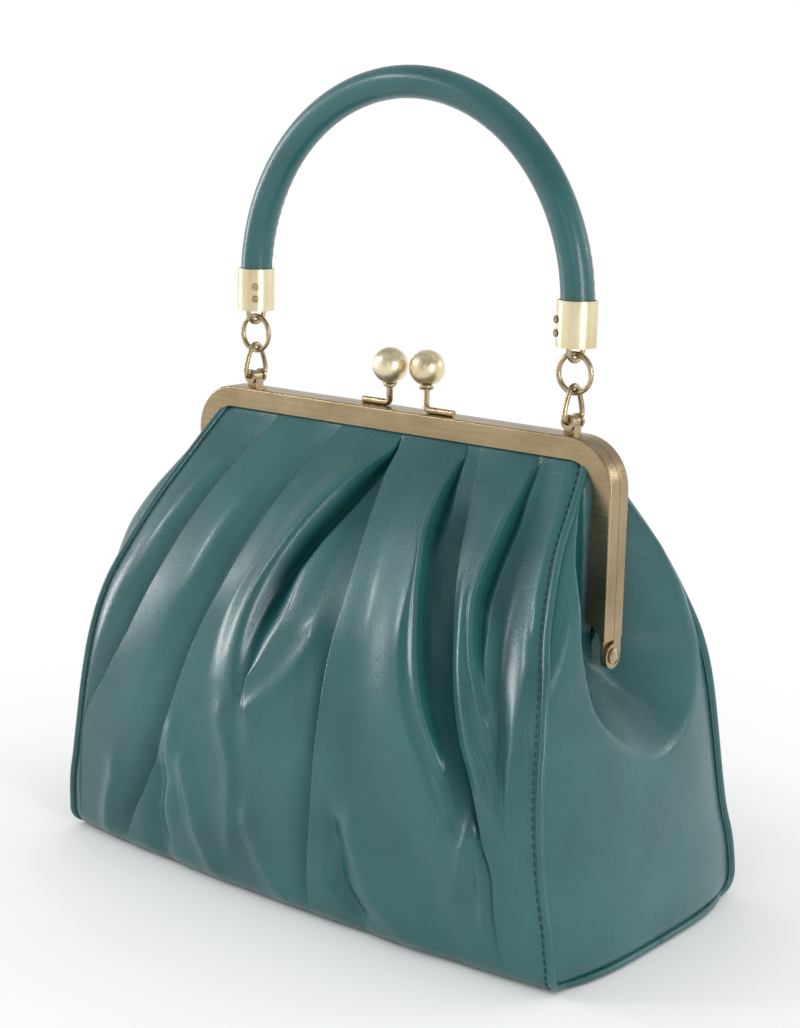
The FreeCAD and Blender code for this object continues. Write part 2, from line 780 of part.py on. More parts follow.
# Clasp
def clasp_half(half):
    """A ball on a bent rod whose foot lies along the top of one half."""
    sign = HALVES[half]
    hand = RIGHT if sign == FRONT else LEFT
    rod_radius = size("clasp_rod_radius")
    centre_x = size("clasp_shift") + hand * (size("ball_radius") + size("ball_pass") / 2)
    centre = Vector(centre_x, -sign * size("ball_cross"), size("frame_top") + size("ball_rise"))
    foot_y = sign * size("clasp_foot_side")
    foot_z = size("frame_top") + rod_radius
    corner = Vector(centre_x + hand * size("clasp_foot_out"), foot_y, foot_z)
    far = corner + Vector(hand * size("clasp_foot_length"), 0, 0)
    up = (centre - corner).normalize()
    turn = math.acos(up.dot(Vector(hand, 0, 0)))
    run = size("clasp_elbow") / math.tan(turn / 2)
    bend_start = corner + Vector(hand * run, 0, 0)
    bend_end = corner + up * run
    bisector = (Vector(hand, 0, 0) + up).normalize()
    bend_centre = corner + bisector * (size("clasp_elbow") / math.sin(turn / 2))
    bend_middle = bend_centre - bisector * size("clasp_elbow")
    tip = centre - up * (size("ball_radius") - size("clasp_sink"))
    path = [line(far, bend_start), arc(bend_start, bend_middle, bend_end), line(bend_end, tip)]
    post = bent_rod(half + "_clasp_sweep", path, "clasp_rod_radius", far, Vector(-hand, 0, 0))
    keep(half + "_clasp_post", post)
    ball = doc.addObject("Part::Sphere", half + "_ball")
    bind(ball, Radius="ball_radius")
    ball.Placement = Placement(centre, Rotation(Vector(0, 0, 1), up))
    keep(half + "_clasp_ball", ball)
    collar = doc.addObject("Part::Torus", half + "_collar")
    bind(collar, Radius1="collar_radius", Radius2="collar_wire")
    seat = centre - up * (size("ball_radius") + size("collar_wire"))
    collar.Placement = Placement(seat, Rotation(Vector(0, 0, 1), up))
    keep(half + "_clasp_collar", collar)


# Rings
def lug_height():
    return size("frame_top") + size("lug_rise")


def jump_centre():
    """Height of the jump ring's middle when the handle is pulled up."""
    link = 2 * size("wire_radius") + size("link_gap")
    return lug_height() + size("ring_rise") - link + size("jump_radius")


def ferrule_bottom():
    """Height of the ferrule's lower face when the handle is pulled up."""
    link = 2 * size("wire_radius") + size("link_gap")
    return jump_centre() + size("jump_radius") - link + size("loop_drop")


def ring_lug(side):
    """A banded barrel on a foot, fixed to the top of the rear half."""
    hand = SIDES[side]
    barrel = turned(side + "_lug_body", (
        ("wire_radius + pivot_fit", "0 - lug_length / 2"),
        ("lug_band_radius", "0 - lug_length / 2"),
        ("lug_band_radius", "lug_band - lug_length / 2"),
        ("lug_radius", "lug_band - lug_length / 2"),
        ("lug_radius", "lug_length / 2 - lug_band"),
        ("lug_band_radius", "lug_length / 2 - lug_band"),
        ("lug_band_radius", "lug_length / 2"),
        ("wire_radius + pivot_fit", "lug_length / 2"),
    ))
    barrel.Placement = Placement(Vector(), Rotation(Vector(0, 0, 1), Vector(0, 1, 0)))
    centre = "handle_span / 2" if hand == RIGHT else "0 - handle_span / 2"
    place(barrel, (centre, "lug_side", "frame_top + lug_rise"))
    foot = box(side + "_lug_foot", ("lug_foot", "lug_foot", "lug_rise - wire_radius - pivot_fit"),
               (centre + " - lug_foot / 2", "lug_side - lug_foot / 2", "frame_top"))
    bore = rod(side + "_lug_bore", "wire_radius + pivot_fit", "lug_length",
               (centre, "lug_side - lug_length / 2", "frame_top + lug_rise"), (0, 1, 0))
    whole = fuse(side + "_lug_whole", barrel, foot)
    return keep(side + "_ring_lug", cut(side + "_lug", whole, bore))


def swivel_ring(side):
    """A tall ring whose two bent ends turn in the lug's barrel."""
    x = SIDES[side] * size("handle_span") / 2
    middle = size("lug_side")
    low = lug_height()
    wide = size("ring_half_width")
    bend = size("ring_bend")
    shoulder = low + size("ring_rise") - wide
    diagonal = bend * (1 - math.sqrt(0.5))

    def at(y, z):
        return Vector(x, middle + y, z)

    path = [
        line(at(-size("ring_end"), low), at(-wide + bend, low)),
        arc(at(-wide + bend, low), at(-wide + diagonal, low + diagonal), at(-wide, low + bend)),
        line(at(-wide, low + bend), at(-wide, shoulder)),
        arc(at(-wide, shoulder), at(0, shoulder + wide), at(wide, shoulder)),
        line(at(wide, shoulder), at(wide, low + bend)),
        arc(at(wide, low + bend), at(wide - diagonal, low + diagonal), at(wide - bend, low)),
        line(at(wide - bend, low), at(size("ring_end"), low)),
    ]
    item = bent_rod(side + "_swivel_sweep", path, "wire_radius", at(-size("ring_end"), low), Vector(0, -1, 0))
    return keep(side + "_swivel_ring", item)


def jump_ring(side):
    """A round wire ring with its ends almost closed."""
    x = SIDES[side] * size("handle_span") / 2
    torus = doc.addObject("Part::Torus", side + "_jump_torus")
    bind(torus, Radius1="jump_radius", Radius2="wire_radius")
    centre = Vector(x, size("lug_side"), jump_centre())
    torus.Placement = Placement(centre, Rotation(Vector(0, 0, 1), Vector(0, 1, 0)))
    slit = doc.addObject("Part::Box", side + "_jump_slit")
    bind(slit, Length="jump_radius + cut_overrun", Width="4 * wire_radius", Height="jump_slit")
    turn = Rotation(Vector(0, 1, 0), -size("jump_slit_angle"))
    corner = Vector(0, -2 * size("wire_radius"), -size("jump_slit") / 2)
    slit.Placement = Placement(centre + turn.multVec(corner), turn)
    return keep(side + "_jump_ring", cut(side + "_jump", torus, slit))


# Handle
def ferrule(side):
    """A brass cup on each end of the handle, drilled for two screws."""
    x = SIDES[side] * size("handle_span") / 2
    cup = turned(side + "_ferrule_body", (
        ("0", "0"),
        ("ferrule_radius", "0"),
        ("ferrule_radius", "ferrule_length"),
        ("ferrule_radius - ferrule_wall", "ferrule_length"),
        ("ferrule_radius - ferrule_wall", "ferrule_floor"),
        ("0", "ferrule_floor"),
    ))
    cup.Placement = Placement(Vector(x, size("lug_side"), ferrule_bottom()), Rotation())
    holes = []
    for index, height in enumerate(screw_heights()):
        hole = doc.addObject("Part::Cylinder", f"{side}_screw_hole{index}")
        bind(hole, Radius="screw_radius", Height="ferrule_radius + cut_overrun")
        hole.Placement = Placement(Vector(x, size("lug_side"), height),
                                   Rotation(Vector(0, 0, 1), screw_direction(side)))
        holes.append(hole)
    return keep(side + "_ferrule", cut(side + "_ferrule_drilled", cup, *holes))


def screw_heights():
    low = ferrule_bottom() + size("screw_low")
    return (low, low + size("screw_pitch"))


def screw_direction(side):
    """Screws face the front, turned towards the middle of the purse."""
    turn = math.radians(size("screw_turn"))
    return Vector(-SIDES[side] * math.sin(turn), -math.cos(turn), 0)


def ferrule_screws(side):
    """Two small screws that hold the handle in its ferrule."""
    x = SIDES[side] * size("handle_span") / 2
    out = screw_direction(side)
    solids = []
    for height in screw_heights():
        seat = Vector(x, size("lug_side"), height) + out * size("ferrule_radius")
        shank = Part.makeCylinder(size("screw_radius"), size("screw_length"), seat, out * -1)
        head = Part.makeCylinder(size("screw_head"), size("screw_head_height"), seat, out)
        solids.append(shank.fuse(head).removeSplitter())
    return keep(side + "_ferrule_screws", feature(side + "_screws", Part.makeCompound(solids)))


def handle_loop(side):
    """The U-shaped wire under the ferrule that the jump ring hangs in."""
    x = SIDES[side] * size("handle_span") / 2
    middle = size("lug_side")
    wide = size("loop_half_width")
    top = ferrule_bottom() + size("ferrule_floor")
    low = ferrule_bottom() - size("loop_drop") + wide

    def at(y, z):
        return Vector(x, middle + y, z)

    path = [
        line(at(-wide, top), at(-wide, low)),
        arc(at(-wide, low), at(0, low - wide), at(wide, low)),
        line(at(wide, low), at(wide, top)),
    ]
    item = bent_rod(side + "_loop_sweep", path, "wire_radius", at(-wide, top), Vector(0, 0, -1))
    return keep(side + "_handle_loop", item)


def handle_path():
    """The handle's centre line: two short arms and a half circle."""
    y = size("lug_side")
    reach = size("handle_span") / 2
    low = ferrule_bottom() + size("ferrule_floor") + size("handle_fit")
    high = ferrule_bottom() + size("arm_rise")
    return [
        line(Vector(-reach, y, low), Vector(-reach, y, high)),
        arc(Vector(-reach, y, high), Vector(0, y, high + reach), Vector(reach, y, high)),
        line(Vector(reach, y, high), Vector(reach, y, low)),
    ]


def handle():
    """A leather tube sewn round a rope core."""
    path = handle_path()
    start = path[0].Vertexes[0].Point
    upward = Vector(0, 0, 1)
    keep("handle_core", bent_rod("handle_core_sweep", path, "handle_core", start, upward))
    tube = bent_rod("handle_tube", path, "handle_radius", start, upward)
    bore = bent_rod("handle_bore", path, "handle_core + handle_fit", start, upward)
    shanks = []
    for side in SIDES:
        x = SIDES[side] * size("handle_span") / 2
        for index, height in enumerate(screw_heights()):
            hole = doc.addObject("Part::Cylinder", f"{side}_handle_hole{index}")
            bind(hole, Radius="screw_radius + handle_fit", Height="ferrule_radius + cut_overrun")
            hole.Placement = Placement(Vector(x, size("lug_side"), height),
                                       Rotation(Vector(0, 0, 1), screw_direction(side)))
            shanks.append(hole)
    keep("handle_cover", cut("handle_cover", tube, bore, *shanks))


for half in HALVES:
    frame_half(half)
    frame_cord(half)
    lower_panel(half)
    upper_panel(half)
    clasp_half(half)
    for side in SIDES:
        gusset_wing(half, side)
        upper_piping(half, side)
for side in SIDES:
    hinge_rivet(side)
    lower_gusset(side)
    lower_piping(side)
    ring_lug(side)
    swivel_ring(side)
    jump_ring(side)
    ferrule(side)
    ferrule_screws(side)
    handle_loop(side)
handle()
base_plate("base_panel", size("base_leather"), 0.0, 0.0)
base_plate("base_board", size("board_thickness"), size("base_leather") + size("lining_gap"),
           size("base_room"))
lining()
doc.recompute()

for item in doc.Objects:
    if "Invalid" in item.State or "Error" in item.State:
        raise RuntimeError(f"{item.Label} failed: {item.State}")
for name, item in nodes.items():
    if item.Shape.isNull() or not item.Shape.isValid():
        raise RuntimeError(f"{name} has no valid shape")

os.makedirs("parts", exist_ok=True)
for name, item in nodes.items():
    item.Shape.exportStep(f"parts/{name}.step")
    print(name, len(item.Shape.Solids), "solids", round(item.Shape.Volume, 2), "mm3")
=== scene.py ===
# %% [markdown]
# # Kiss lock frame purse
# A soft leather purse hangs from a hinged brass frame. The hard pieces come from the packed
# model: most of them only get a finish here, while the frame, the swivel rings and the screws
# get more shape too. The soft pieces are lofted again as leather: pleated panels, dished
# gussets, piping, stitches and a sewn handle. Tables are in millimetres and pieces in metres,
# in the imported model's own frame: +Z up, the front faces -Y.

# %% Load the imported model
import math

import bmesh
import bpy
import numpy as np
from mathutils import Matrix, Vector


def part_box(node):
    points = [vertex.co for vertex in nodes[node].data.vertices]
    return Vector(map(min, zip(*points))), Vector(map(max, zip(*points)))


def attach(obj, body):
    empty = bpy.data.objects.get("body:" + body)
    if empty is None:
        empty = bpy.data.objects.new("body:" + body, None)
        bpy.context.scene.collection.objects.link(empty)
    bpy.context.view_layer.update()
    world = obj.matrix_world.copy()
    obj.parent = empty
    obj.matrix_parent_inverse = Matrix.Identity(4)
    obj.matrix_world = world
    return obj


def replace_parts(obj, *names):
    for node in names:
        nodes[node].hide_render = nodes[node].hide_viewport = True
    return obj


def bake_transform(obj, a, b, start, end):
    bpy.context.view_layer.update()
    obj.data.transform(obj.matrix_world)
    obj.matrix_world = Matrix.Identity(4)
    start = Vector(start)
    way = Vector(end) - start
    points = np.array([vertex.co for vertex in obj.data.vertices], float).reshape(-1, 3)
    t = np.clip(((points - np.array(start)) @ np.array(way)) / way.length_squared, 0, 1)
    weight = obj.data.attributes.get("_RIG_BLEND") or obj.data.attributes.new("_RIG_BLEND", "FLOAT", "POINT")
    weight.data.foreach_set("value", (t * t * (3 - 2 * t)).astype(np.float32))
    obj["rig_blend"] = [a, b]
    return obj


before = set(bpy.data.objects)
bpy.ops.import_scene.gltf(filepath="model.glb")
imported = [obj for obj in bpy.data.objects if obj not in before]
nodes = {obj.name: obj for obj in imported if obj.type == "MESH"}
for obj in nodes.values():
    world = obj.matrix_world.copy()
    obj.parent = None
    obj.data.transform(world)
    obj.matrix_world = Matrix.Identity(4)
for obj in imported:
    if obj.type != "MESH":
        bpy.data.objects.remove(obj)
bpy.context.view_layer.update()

MM = 0.001

# %% [markdown]
# ## Camera
# The photograph was taken from the front right and a little above. A camera is a matrix of
# three axes, so the view angles and the small roll are turned into those axes directly.

# %% Camera
VIEW_AZIMUTH = math.radians(38.98)
VIEW_PITCH = math.radians(12.24)
VIEW_ROLL = math.radians(1.155)
VIEW_FROM = Vector((0.4622, -0.5693, 0.2988))
VIEW_LENS = 68.8
SENSOR_WIDTH = 36.0


def camera_axes():
    """Right, up and back of the camera after its roll."""
    level = Vector((math.cos(VIEW_AZIMUTH), math.sin(VIEW_AZIMUTH), 0.0))
    ahead = Vector((-math.sin(VIEW_AZIMUTH) * math.cos(VIEW_PITCH),
                    math.cos(VIEW_AZIMUTH) * math.cos(VIEW_PITCH), -math.sin(VIEW_PITCH)))
    upright = level.cross(ahead)
    right = level * math.cos(VIEW_ROLL) + upright * math.sin(VIEW_ROLL)
    up = upright * math.cos(VIEW_ROLL) - level * math.sin(VIEW_ROLL)
    return right, up, -ahead


def new_object(name, data):
    """An object at the origin, linked to the scene."""
    item = bpy.data.objects.new(name, data)
    bpy.context.scene.collection.objects.link(item)
    return item


camera = new_object("camera", bpy.data.cameras.new("camera"))
camera.data.lens = VIEW_LENS
camera.data.sensor_width = SENSOR_WIDTH
camera.matrix_world = Matrix.Translation(VIEW_FROM) @ Matrix(camera_axes()).transposed().to_4x4()
bpy.context.scene.camera = camera
print("camera at", [round(v, 3) for v in VIEW_FROM], "lens", VIEW_LENS)

# %% [markdown]
# ## Materials
# A finish is built from a few textures on Object coordinates. One helper makes a node
# and fills its inputs, with a number or with a link from another node, so that each material
# reads as a short recipe. The world and the Geometry Nodes trees further down use it too.

# %% Node helpers
def fill_input(tree, socket, value):
    """An input takes a number, or a link from another node's output."""
    if isinstance(value, bpy.types.NodeSocket):
        tree.links.new(value, socket)
    else:
        socket.default_value = value


def fill_inputs(tree, node, inputs):
    """Inputs by name, where _ is a space."""
    for key, value in inputs.items():
        fill_input(tree, node.inputs[key.replace("_", " ")], value)


def add_node(tree, kind, settings=None, **inputs):
    """A node with its settings and its inputs."""
    node = tree.nodes.new(kind)
    for key, value in (settings or {}).items():
        setattr(node, key, value)
    fill_inputs(tree, node, inputs)
    return node


def calculate(tree, operation, *values):
    """The result of a Math node, whose inputs go by their order."""
    node = add_node(tree, "ShaderNodeMath", {"operation": operation})
    for socket, value in zip(node.inputs, values):
        fill_input(tree, socket, value)
    return node.outputs[0]


# %% Material helpers
def new_material(name, **inputs):
    """A material, its tree and its shader, with some of the shader's own values."""
    material = bpy.data.materials.new(name)
    material.use_nodes = True
    tree = material.node_tree
    shader = tree.nodes["Principled BSDF"]
    fill_inputs(tree, shader, inputs)
    return material, tree, shader


def place_on_piece(tree):
    return add_node(tree, "ShaderNodeTexCoord").outputs["Object"]


def noise(tree, place, scale, detail):
    texture = add_node(tree, "ShaderNodeTexNoise", Vector=place, Scale=scale, Detail=detail)
    return texture.outputs["Fac"]


def ramp(tree, factor, stops):
    """A colour ramp through (position, colour) stops."""
    node = add_node(tree, "ShaderNodeValToRGB", Fac=factor)
    elements = node.color_ramp.elements
    for element, (position, colour) in zip(elements, (stops[0], stops[-1])):
        element.position = position
        element.color = (*colour, 1.0)
    for position, colour in stops[1:-1]:
        element = elements.new(position)
        element.color = (*colour, 1.0)
    return node.outputs["Color"]


def grey(value):
    return (value, value, value)


def link(tree, source, shader, socket):
    tree.links.new(source, shader.inputs[socket])


def emboss(tree, shader, height, strength, distance):
    """Bump on the shader from a height."""
    bump = add_node(tree, "ShaderNodeBump", Height=height, Strength=strength, Distance=distance)
    link(tree, bump.outputs["Normal"], shader, "Normal")


# %% [markdown]
# ### Teal leather
# Smooth finished leather: a deep teal that shifts a little over the hide, a very fine grain
# that breaks up the highlights, and a satin coat. The grain is a Voronoi cell pattern well
# under a millimetre, used as bump and as a slight change of roughness. Shade is painted into
# the folds and the gussets' dish: there the colour is darkened and the gloss weakened. Each
# leather mesh carries an attribute, hollow, that says how deep a point lies, and sets that shade.

# %% Teal leather
HIDE_STOPS = [(0.3, (0.0105, 0.070, 0.074)), (0.5, (0.0145, 0.088, 0.093)), (0.72, (0.019, 0.106, 0.111))]
GRAIN_STOPS = [(0.35, grey(0.2)), (0.95, grey(0.33))]
# Painted shade: where a point lies deep, the hide is multiplied by this dark tint and the gloss drops from
# the first value to the second.
FOLD_SHADE_TINT = (0.32, 0.44, 0.44, 1.0)
FOLD_SHADE_GLOSS = {"Specular IOR Level": (0.5, 0.08), "Coat Weight": (0.18, 0.03)}
CELL_SHARE = 0.6
FINE_TO_CELL = 0.6


def leather_material(name, grain_scale):
    material, tree, shader = new_material(name, Coat_Roughness=0.16)
    place = place_on_piece(tree)
    colour = ramp(tree, noise(tree, place, scale=26.0, detail=4.0), HIDE_STOPS)
    # Painted shade in the folds and the dish, read from the hollow attribute.
    hollow = add_node(tree, "ShaderNodeAttribute", {"attribute_name": "hollow"}).outputs["Fac"]
    painted_fold_shade = add_node(tree, "ShaderNodeMix", {"data_type": "RGBA", "blend_type": "MULTIPLY"},
                      Factor=hollow, A=colour, B=FOLD_SHADE_TINT)
    link(tree, painted_fold_shade.outputs["Result"], shader, "Base Color")
    cells = add_node(tree, "ShaderNodeTexVoronoi", Vector=place, Scale=grain_scale).outputs["Distance"]
    fine = noise(tree, place, scale=grain_scale * FINE_TO_CELL, detail=3.0)
    grain = calculate(tree, "MULTIPLY_ADD", cells, CELL_SHARE, fine)
    link(tree, ramp(tree, grain, GRAIN_STOPS), shader, "Roughness")
    emboss(tree, shader, grain, strength=0.45, distance=0.00012)
    for socket, (open_value, fold_value) in FOLD_SHADE_GLOSS.items():
        shaded_gloss = add_node(tree, "ShaderNodeMapRange", Value=hollow, To_Min=open_value, To_Max=fold_value)
        link(tree, shaded_gloss.outputs["Result"], shader, socket)
    return material


body_leather = leather_material("teal_leather", grain_scale=2300.0)
handle_leather_finish = leather_material("teal_handle_leather", grain_scale=2500.0)
print("leather materials:", body_leather.name, handle_leather_finish.name)

# %% [markdown]
# ### Thread, lining, board and cord
# Thread is matte and a shade darker than the hide. The lining is a plain woven fabric: two
# crossed wave textures give its over and under. The board is a grey pressed fibre. The cords in
# the frame are twisted paper, and the handle's core gets the same finish.

# %% Thread, lining, board and cord
THREAD_STOPS = [(0.3, (0.005, 0.032, 0.031)), (0.75, (0.014, 0.074, 0.07))]
WEAVE_STOPS = [(0.0, (0.009, 0.03, 0.032)), (0.6, (0.02, 0.06, 0.062))]
WEAVE_SCALE = 320.0
BOARD_STOPS = [(0.3, (0.16, 0.15, 0.13)), (0.7, (0.3, 0.28, 0.25))]
CORD_STOPS = [(0.3, (0.35, 0.28, 0.18)), (0.7, (0.55, 0.47, 0.34))]


def thread_material():
    material, tree, shader = new_material("dark_teal_thread", Roughness=0.6)
    ply = noise(tree, place_on_piece(tree), scale=2600.0, detail=2.0)
    link(tree, ramp(tree, ply, THREAD_STOPS), shader, "Base Color")
    emboss(tree, shader, ply, strength=0.5, distance=0.0001)
    return material


def lining_material():
    material, tree, shader = new_material("woven_lining", Roughness=0.75, Sheen_Weight=0.25)
    place = place_on_piece(tree)
    threads = [add_node(tree, "ShaderNodeTexWave", {"bands_direction": axis}, Vector=place, Scale=WEAVE_SCALE)
               for axis in ("X", "Z")]
    weave = calculate(tree, "MULTIPLY", *(wave.outputs["Fac"] for wave in threads))
    link(tree, ramp(tree, weave, WEAVE_STOPS), shader, "Base Color")
    emboss(tree, shader, weave, strength=0.3, distance=0.0002)
    return material


def fibre_material(name, stops, scale):
    material, tree, shader = new_material(name, Roughness=0.85)
    fibre = noise(tree, place_on_piece(tree), scale, detail=6.0)
    link(tree, ramp(tree, fibre, stops), shader, "Base Color")
    emboss(tree, shader, fibre, strength=0.3, distance=0.0003)
    return material


thread = thread_material()
lining_fabric = lining_material()
grey_board = fibre_material("grey_board", BOARD_STOPS, scale=500.0)
paper_cord = fibre_material("paper_cord", CORD_STOPS, scale=900.0)
print("thread, lining, board and cord materials made")

# %% [markdown]
# ### Brass
# The frame is antique brass: brushed lengthways, with a brown patina that stays where hands
# don't rub. The ferrules are a brighter, yellower brass, the clasp's balls are pale and satin,
# and rings and other small fittings go from darker to lighter than the frame. Brushing is a
# noise that is stretched by a Mapping node along the direction of the brush.

# %% Brass
ANTIQUE_STOPS = [(0.4, (0.26, 0.19, 0.106)), (0.68, (0.345, 0.262, 0.152)), (0.98, (0.43, 0.335, 0.205))]
BRIGHT_STOPS = [(0.4, (0.60, 0.50, 0.27)), (0.68, (0.75, 0.65, 0.40)), (0.98, (0.86, 0.77, 0.54))]
DARK_STOPS = [(0.4, (0.22, 0.165, 0.1)), (0.62, (0.40, 0.315, 0.19)), (0.95, (0.54, 0.44, 0.28))]
BALL_STOPS = [(0.4, (0.62, 0.51, 0.32)), (0.68, (0.82, 0.70, 0.47)), (0.98, (0.94, 0.84, 0.62))]
HAIR_SHARE = 0.45
HAIR_STOPS = (0.3, 0.7)


def brass_material(name, stops, roughness, brush, patina_scale):
    """A brushed metal: colour stops from patina to rubbed, brush is the noise's scale per axis."""
    material, tree, shader = new_material(name, Metallic=1.0)
    place = place_on_piece(tree)
    stretched = add_node(tree, "ShaderNodeMapping", Vector=place, Scale=brush).outputs["Vector"]
    hairs = noise(tree, stretched, scale=1.0, detail=5.0)
    patina = noise(tree, place, patina_scale, detail=5.0)
    worn = calculate(tree, "MULTIPLY_ADD", hairs, HAIR_SHARE, patina)
    link(tree, ramp(tree, worn, stops), shader, "Base Color")
    gloss_stops = [(stop, grey(value)) for stop, value in zip(HAIR_STOPS, roughness)]
    link(tree, ramp(tree, hairs, gloss_stops), shader, "Roughness")
    emboss(tree, shader, hairs, strength=0.08, distance=0.00005)
    return material


frame_brass = brass_material("antique_brass", ANTIQUE_STOPS, roughness=(0.26, 0.36),
                             brush=(70.0, 1500.0, 1500.0), patina_scale=55.0)
ferrule_brass = brass_material("bright_brass", BRIGHT_STOPS, roughness=(0.22, 0.34),
                               brush=(900.0, 900.0, 60.0), patina_scale=55.0)
ring_brass = brass_material("dark_antique_brass", DARK_STOPS, roughness=(0.22, 0.36),
                            brush=(700.0, 700.0, 700.0), patina_scale=300.0)
ball_brass = brass_material("satin_antique_brass", BALL_STOPS, roughness=(0.3, 0.42),
                            brush=(1400.0, 200.0, 1400.0), patina_scale=150.0)
print("brass materials made")

# %% [markdown]
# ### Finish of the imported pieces
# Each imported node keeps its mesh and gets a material, picked by the words in its name. Some of
# them give way to a new piece further down.

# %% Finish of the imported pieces
def finish_of(name):
    """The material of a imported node."""
    if name.endswith("_frame"):
        return frame_brass
    if "ball" in name:
        return ball_brass
    if "ferrule" in name:
        return ferrule_brass
    if "frame_cord" in name or name == "handle_core":
        return paper_cord
    if name == "base_board":
        return grey_board
    if name == "lining":
        return lining_fabric
    if any(word in name for word in ("panel", "gusset", "piping", "cover")):
        return body_leather
    return ring_brass


for name, item in nodes.items():
    item.data.materials.clear()
    item.data.materials.append(finish_of(name))
print("finished nodes:", len(nodes))

# %% [markdown]
# ## The body's outline
# The seam where a panel meets a gusset is the line that gives a purse its shape. It is a short
# table of height, half width and half depth, in millimetres, that a smooth curve passes through.
# Near the ground the corner is a quarter circle, because the leather is turned under the base.

# %% Smooth curve through a table
def slopes(knots, values):
    """Tangents for a curve that never overshoots its table."""
    step = np.diff(knots)
    rate = np.diff(values) / step
    tangent = np.zeros(len(knots))
    for i in range(1, len(knots) - 1):
        if rate[i - 1] * rate[i] > 0:
            before = 2 * step[i] + step[i - 1]
            after = step[i] + 2 * step[i - 1]
            tangent[i] = (before + after) / (before / rate[i - 1] + after / rate[i])
    tangent[0] = rate[0]
    tangent[-1] = rate[-1]
    return tangent


def smooth(at, knots, values):
    """Smooth values at some places between the knots of a table."""
    knots = np.asarray(knots, float)
    values = np.asarray(values, float)
    at = np.clip(at, knots[0], knots[-1])
    index = np.clip(np.searchsorted(knots, at, side="right") - 1, 0, len(knots) - 2)
    width = knots[index + 1] - knots[index]
    share = (at - knots[index]) / width
    tangent = slopes(knots, values)
    lift = share * share * (3 - 2 * share)
    start = share * (1 - share) ** 2 * width * tangent[index]
    stop = share * share * (share - 1) * width * tangent[index + 1]
    return values[index] + (values[index + 1] - values[index]) * lift + start + stop


# %% Seam curve
SEAM_ROWS = (
    (9.0, 120.0, 60.4), (22.0, 118.8, 61.2), (35.0, 116.4, 61.3), (55.0, 113.6, 60.8), (75.0, 111.6, 58.8),
    (90.0, 110.2, 55.6), (103.0, 108.3, 51.2), (120.0, 104.0, 42.2), (140.0, 98.4, 29.0), (150.0, 95.2, 21.3),
    (160.0, 92.1, 13.4), (168.0, 89.4, 7.1), (172.0, 87.8, 4.2), (176.0, 86.0, 2.3), (182.0, 83.4, 1.4),
)
SEAM_HEIGHTS, SEAM_WIDTHS, SEAM_DEPTHS = np.array(SEAM_ROWS).T
BASE_ROUND = 9.0
BASE_HALF_WIDTH = 119.0
HINGE_HEIGHT = 103.4
LEATHER_TOP = 176.5
CORNER_ROWS = 12
WALL_ROWS = 150


def seam(height):
    """Half width and half depth of the seam at a height, in millimetres."""
    wide = float(smooth(height, SEAM_HEIGHTS, SEAM_WIDTHS))
    deep = float(smooth(height, SEAM_HEIGHTS, SEAM_DEPTHS))
    if height < BASE_ROUND:
        drop = BASE_ROUND - height
        deep -= BASE_ROUND - math.sqrt(BASE_ROUND ** 2 - drop ** 2)
        wide = BASE_HALF_WIDTH + (wide - BASE_HALF_WIDTH) * (1 - (drop / BASE_ROUND) ** 2)
    return wide, deep


def body_rows():
    """Heights of the leather's rows: closest together round the lower edge."""
    turn = np.linspace(math.pi / 2, 0, CORNER_ROWS)
    round_rows = BASE_ROUND * (1 - np.sin(turn))
    wall = np.linspace(BASE_ROUND, LEATHER_TOP, WALL_ROWS)
    return np.concatenate([round_rows, wall[1:]])


ROWS = body_rows()
print("rows:", len(ROWS), "seam at the hinge:", [round(v, 1) for v in seam(HINGE_HEIGHT)])

# %% [markdown]
# ## Pleated panels
# The front is gathered into five pleats under the frame. A pleat could be a cloth simulation,
# but its folds would then fall where they like. Here each fold is a line down the panel, with
# a table of height, place across and rise above the plain panel. A step, where one layer of
# leather lies over the next, has two rises, one at its foot and one at its edge close beside.
# The mesh's columns run along these lines, so even a sharp crease is a clean edge. Between
# lines the surface is smooth.

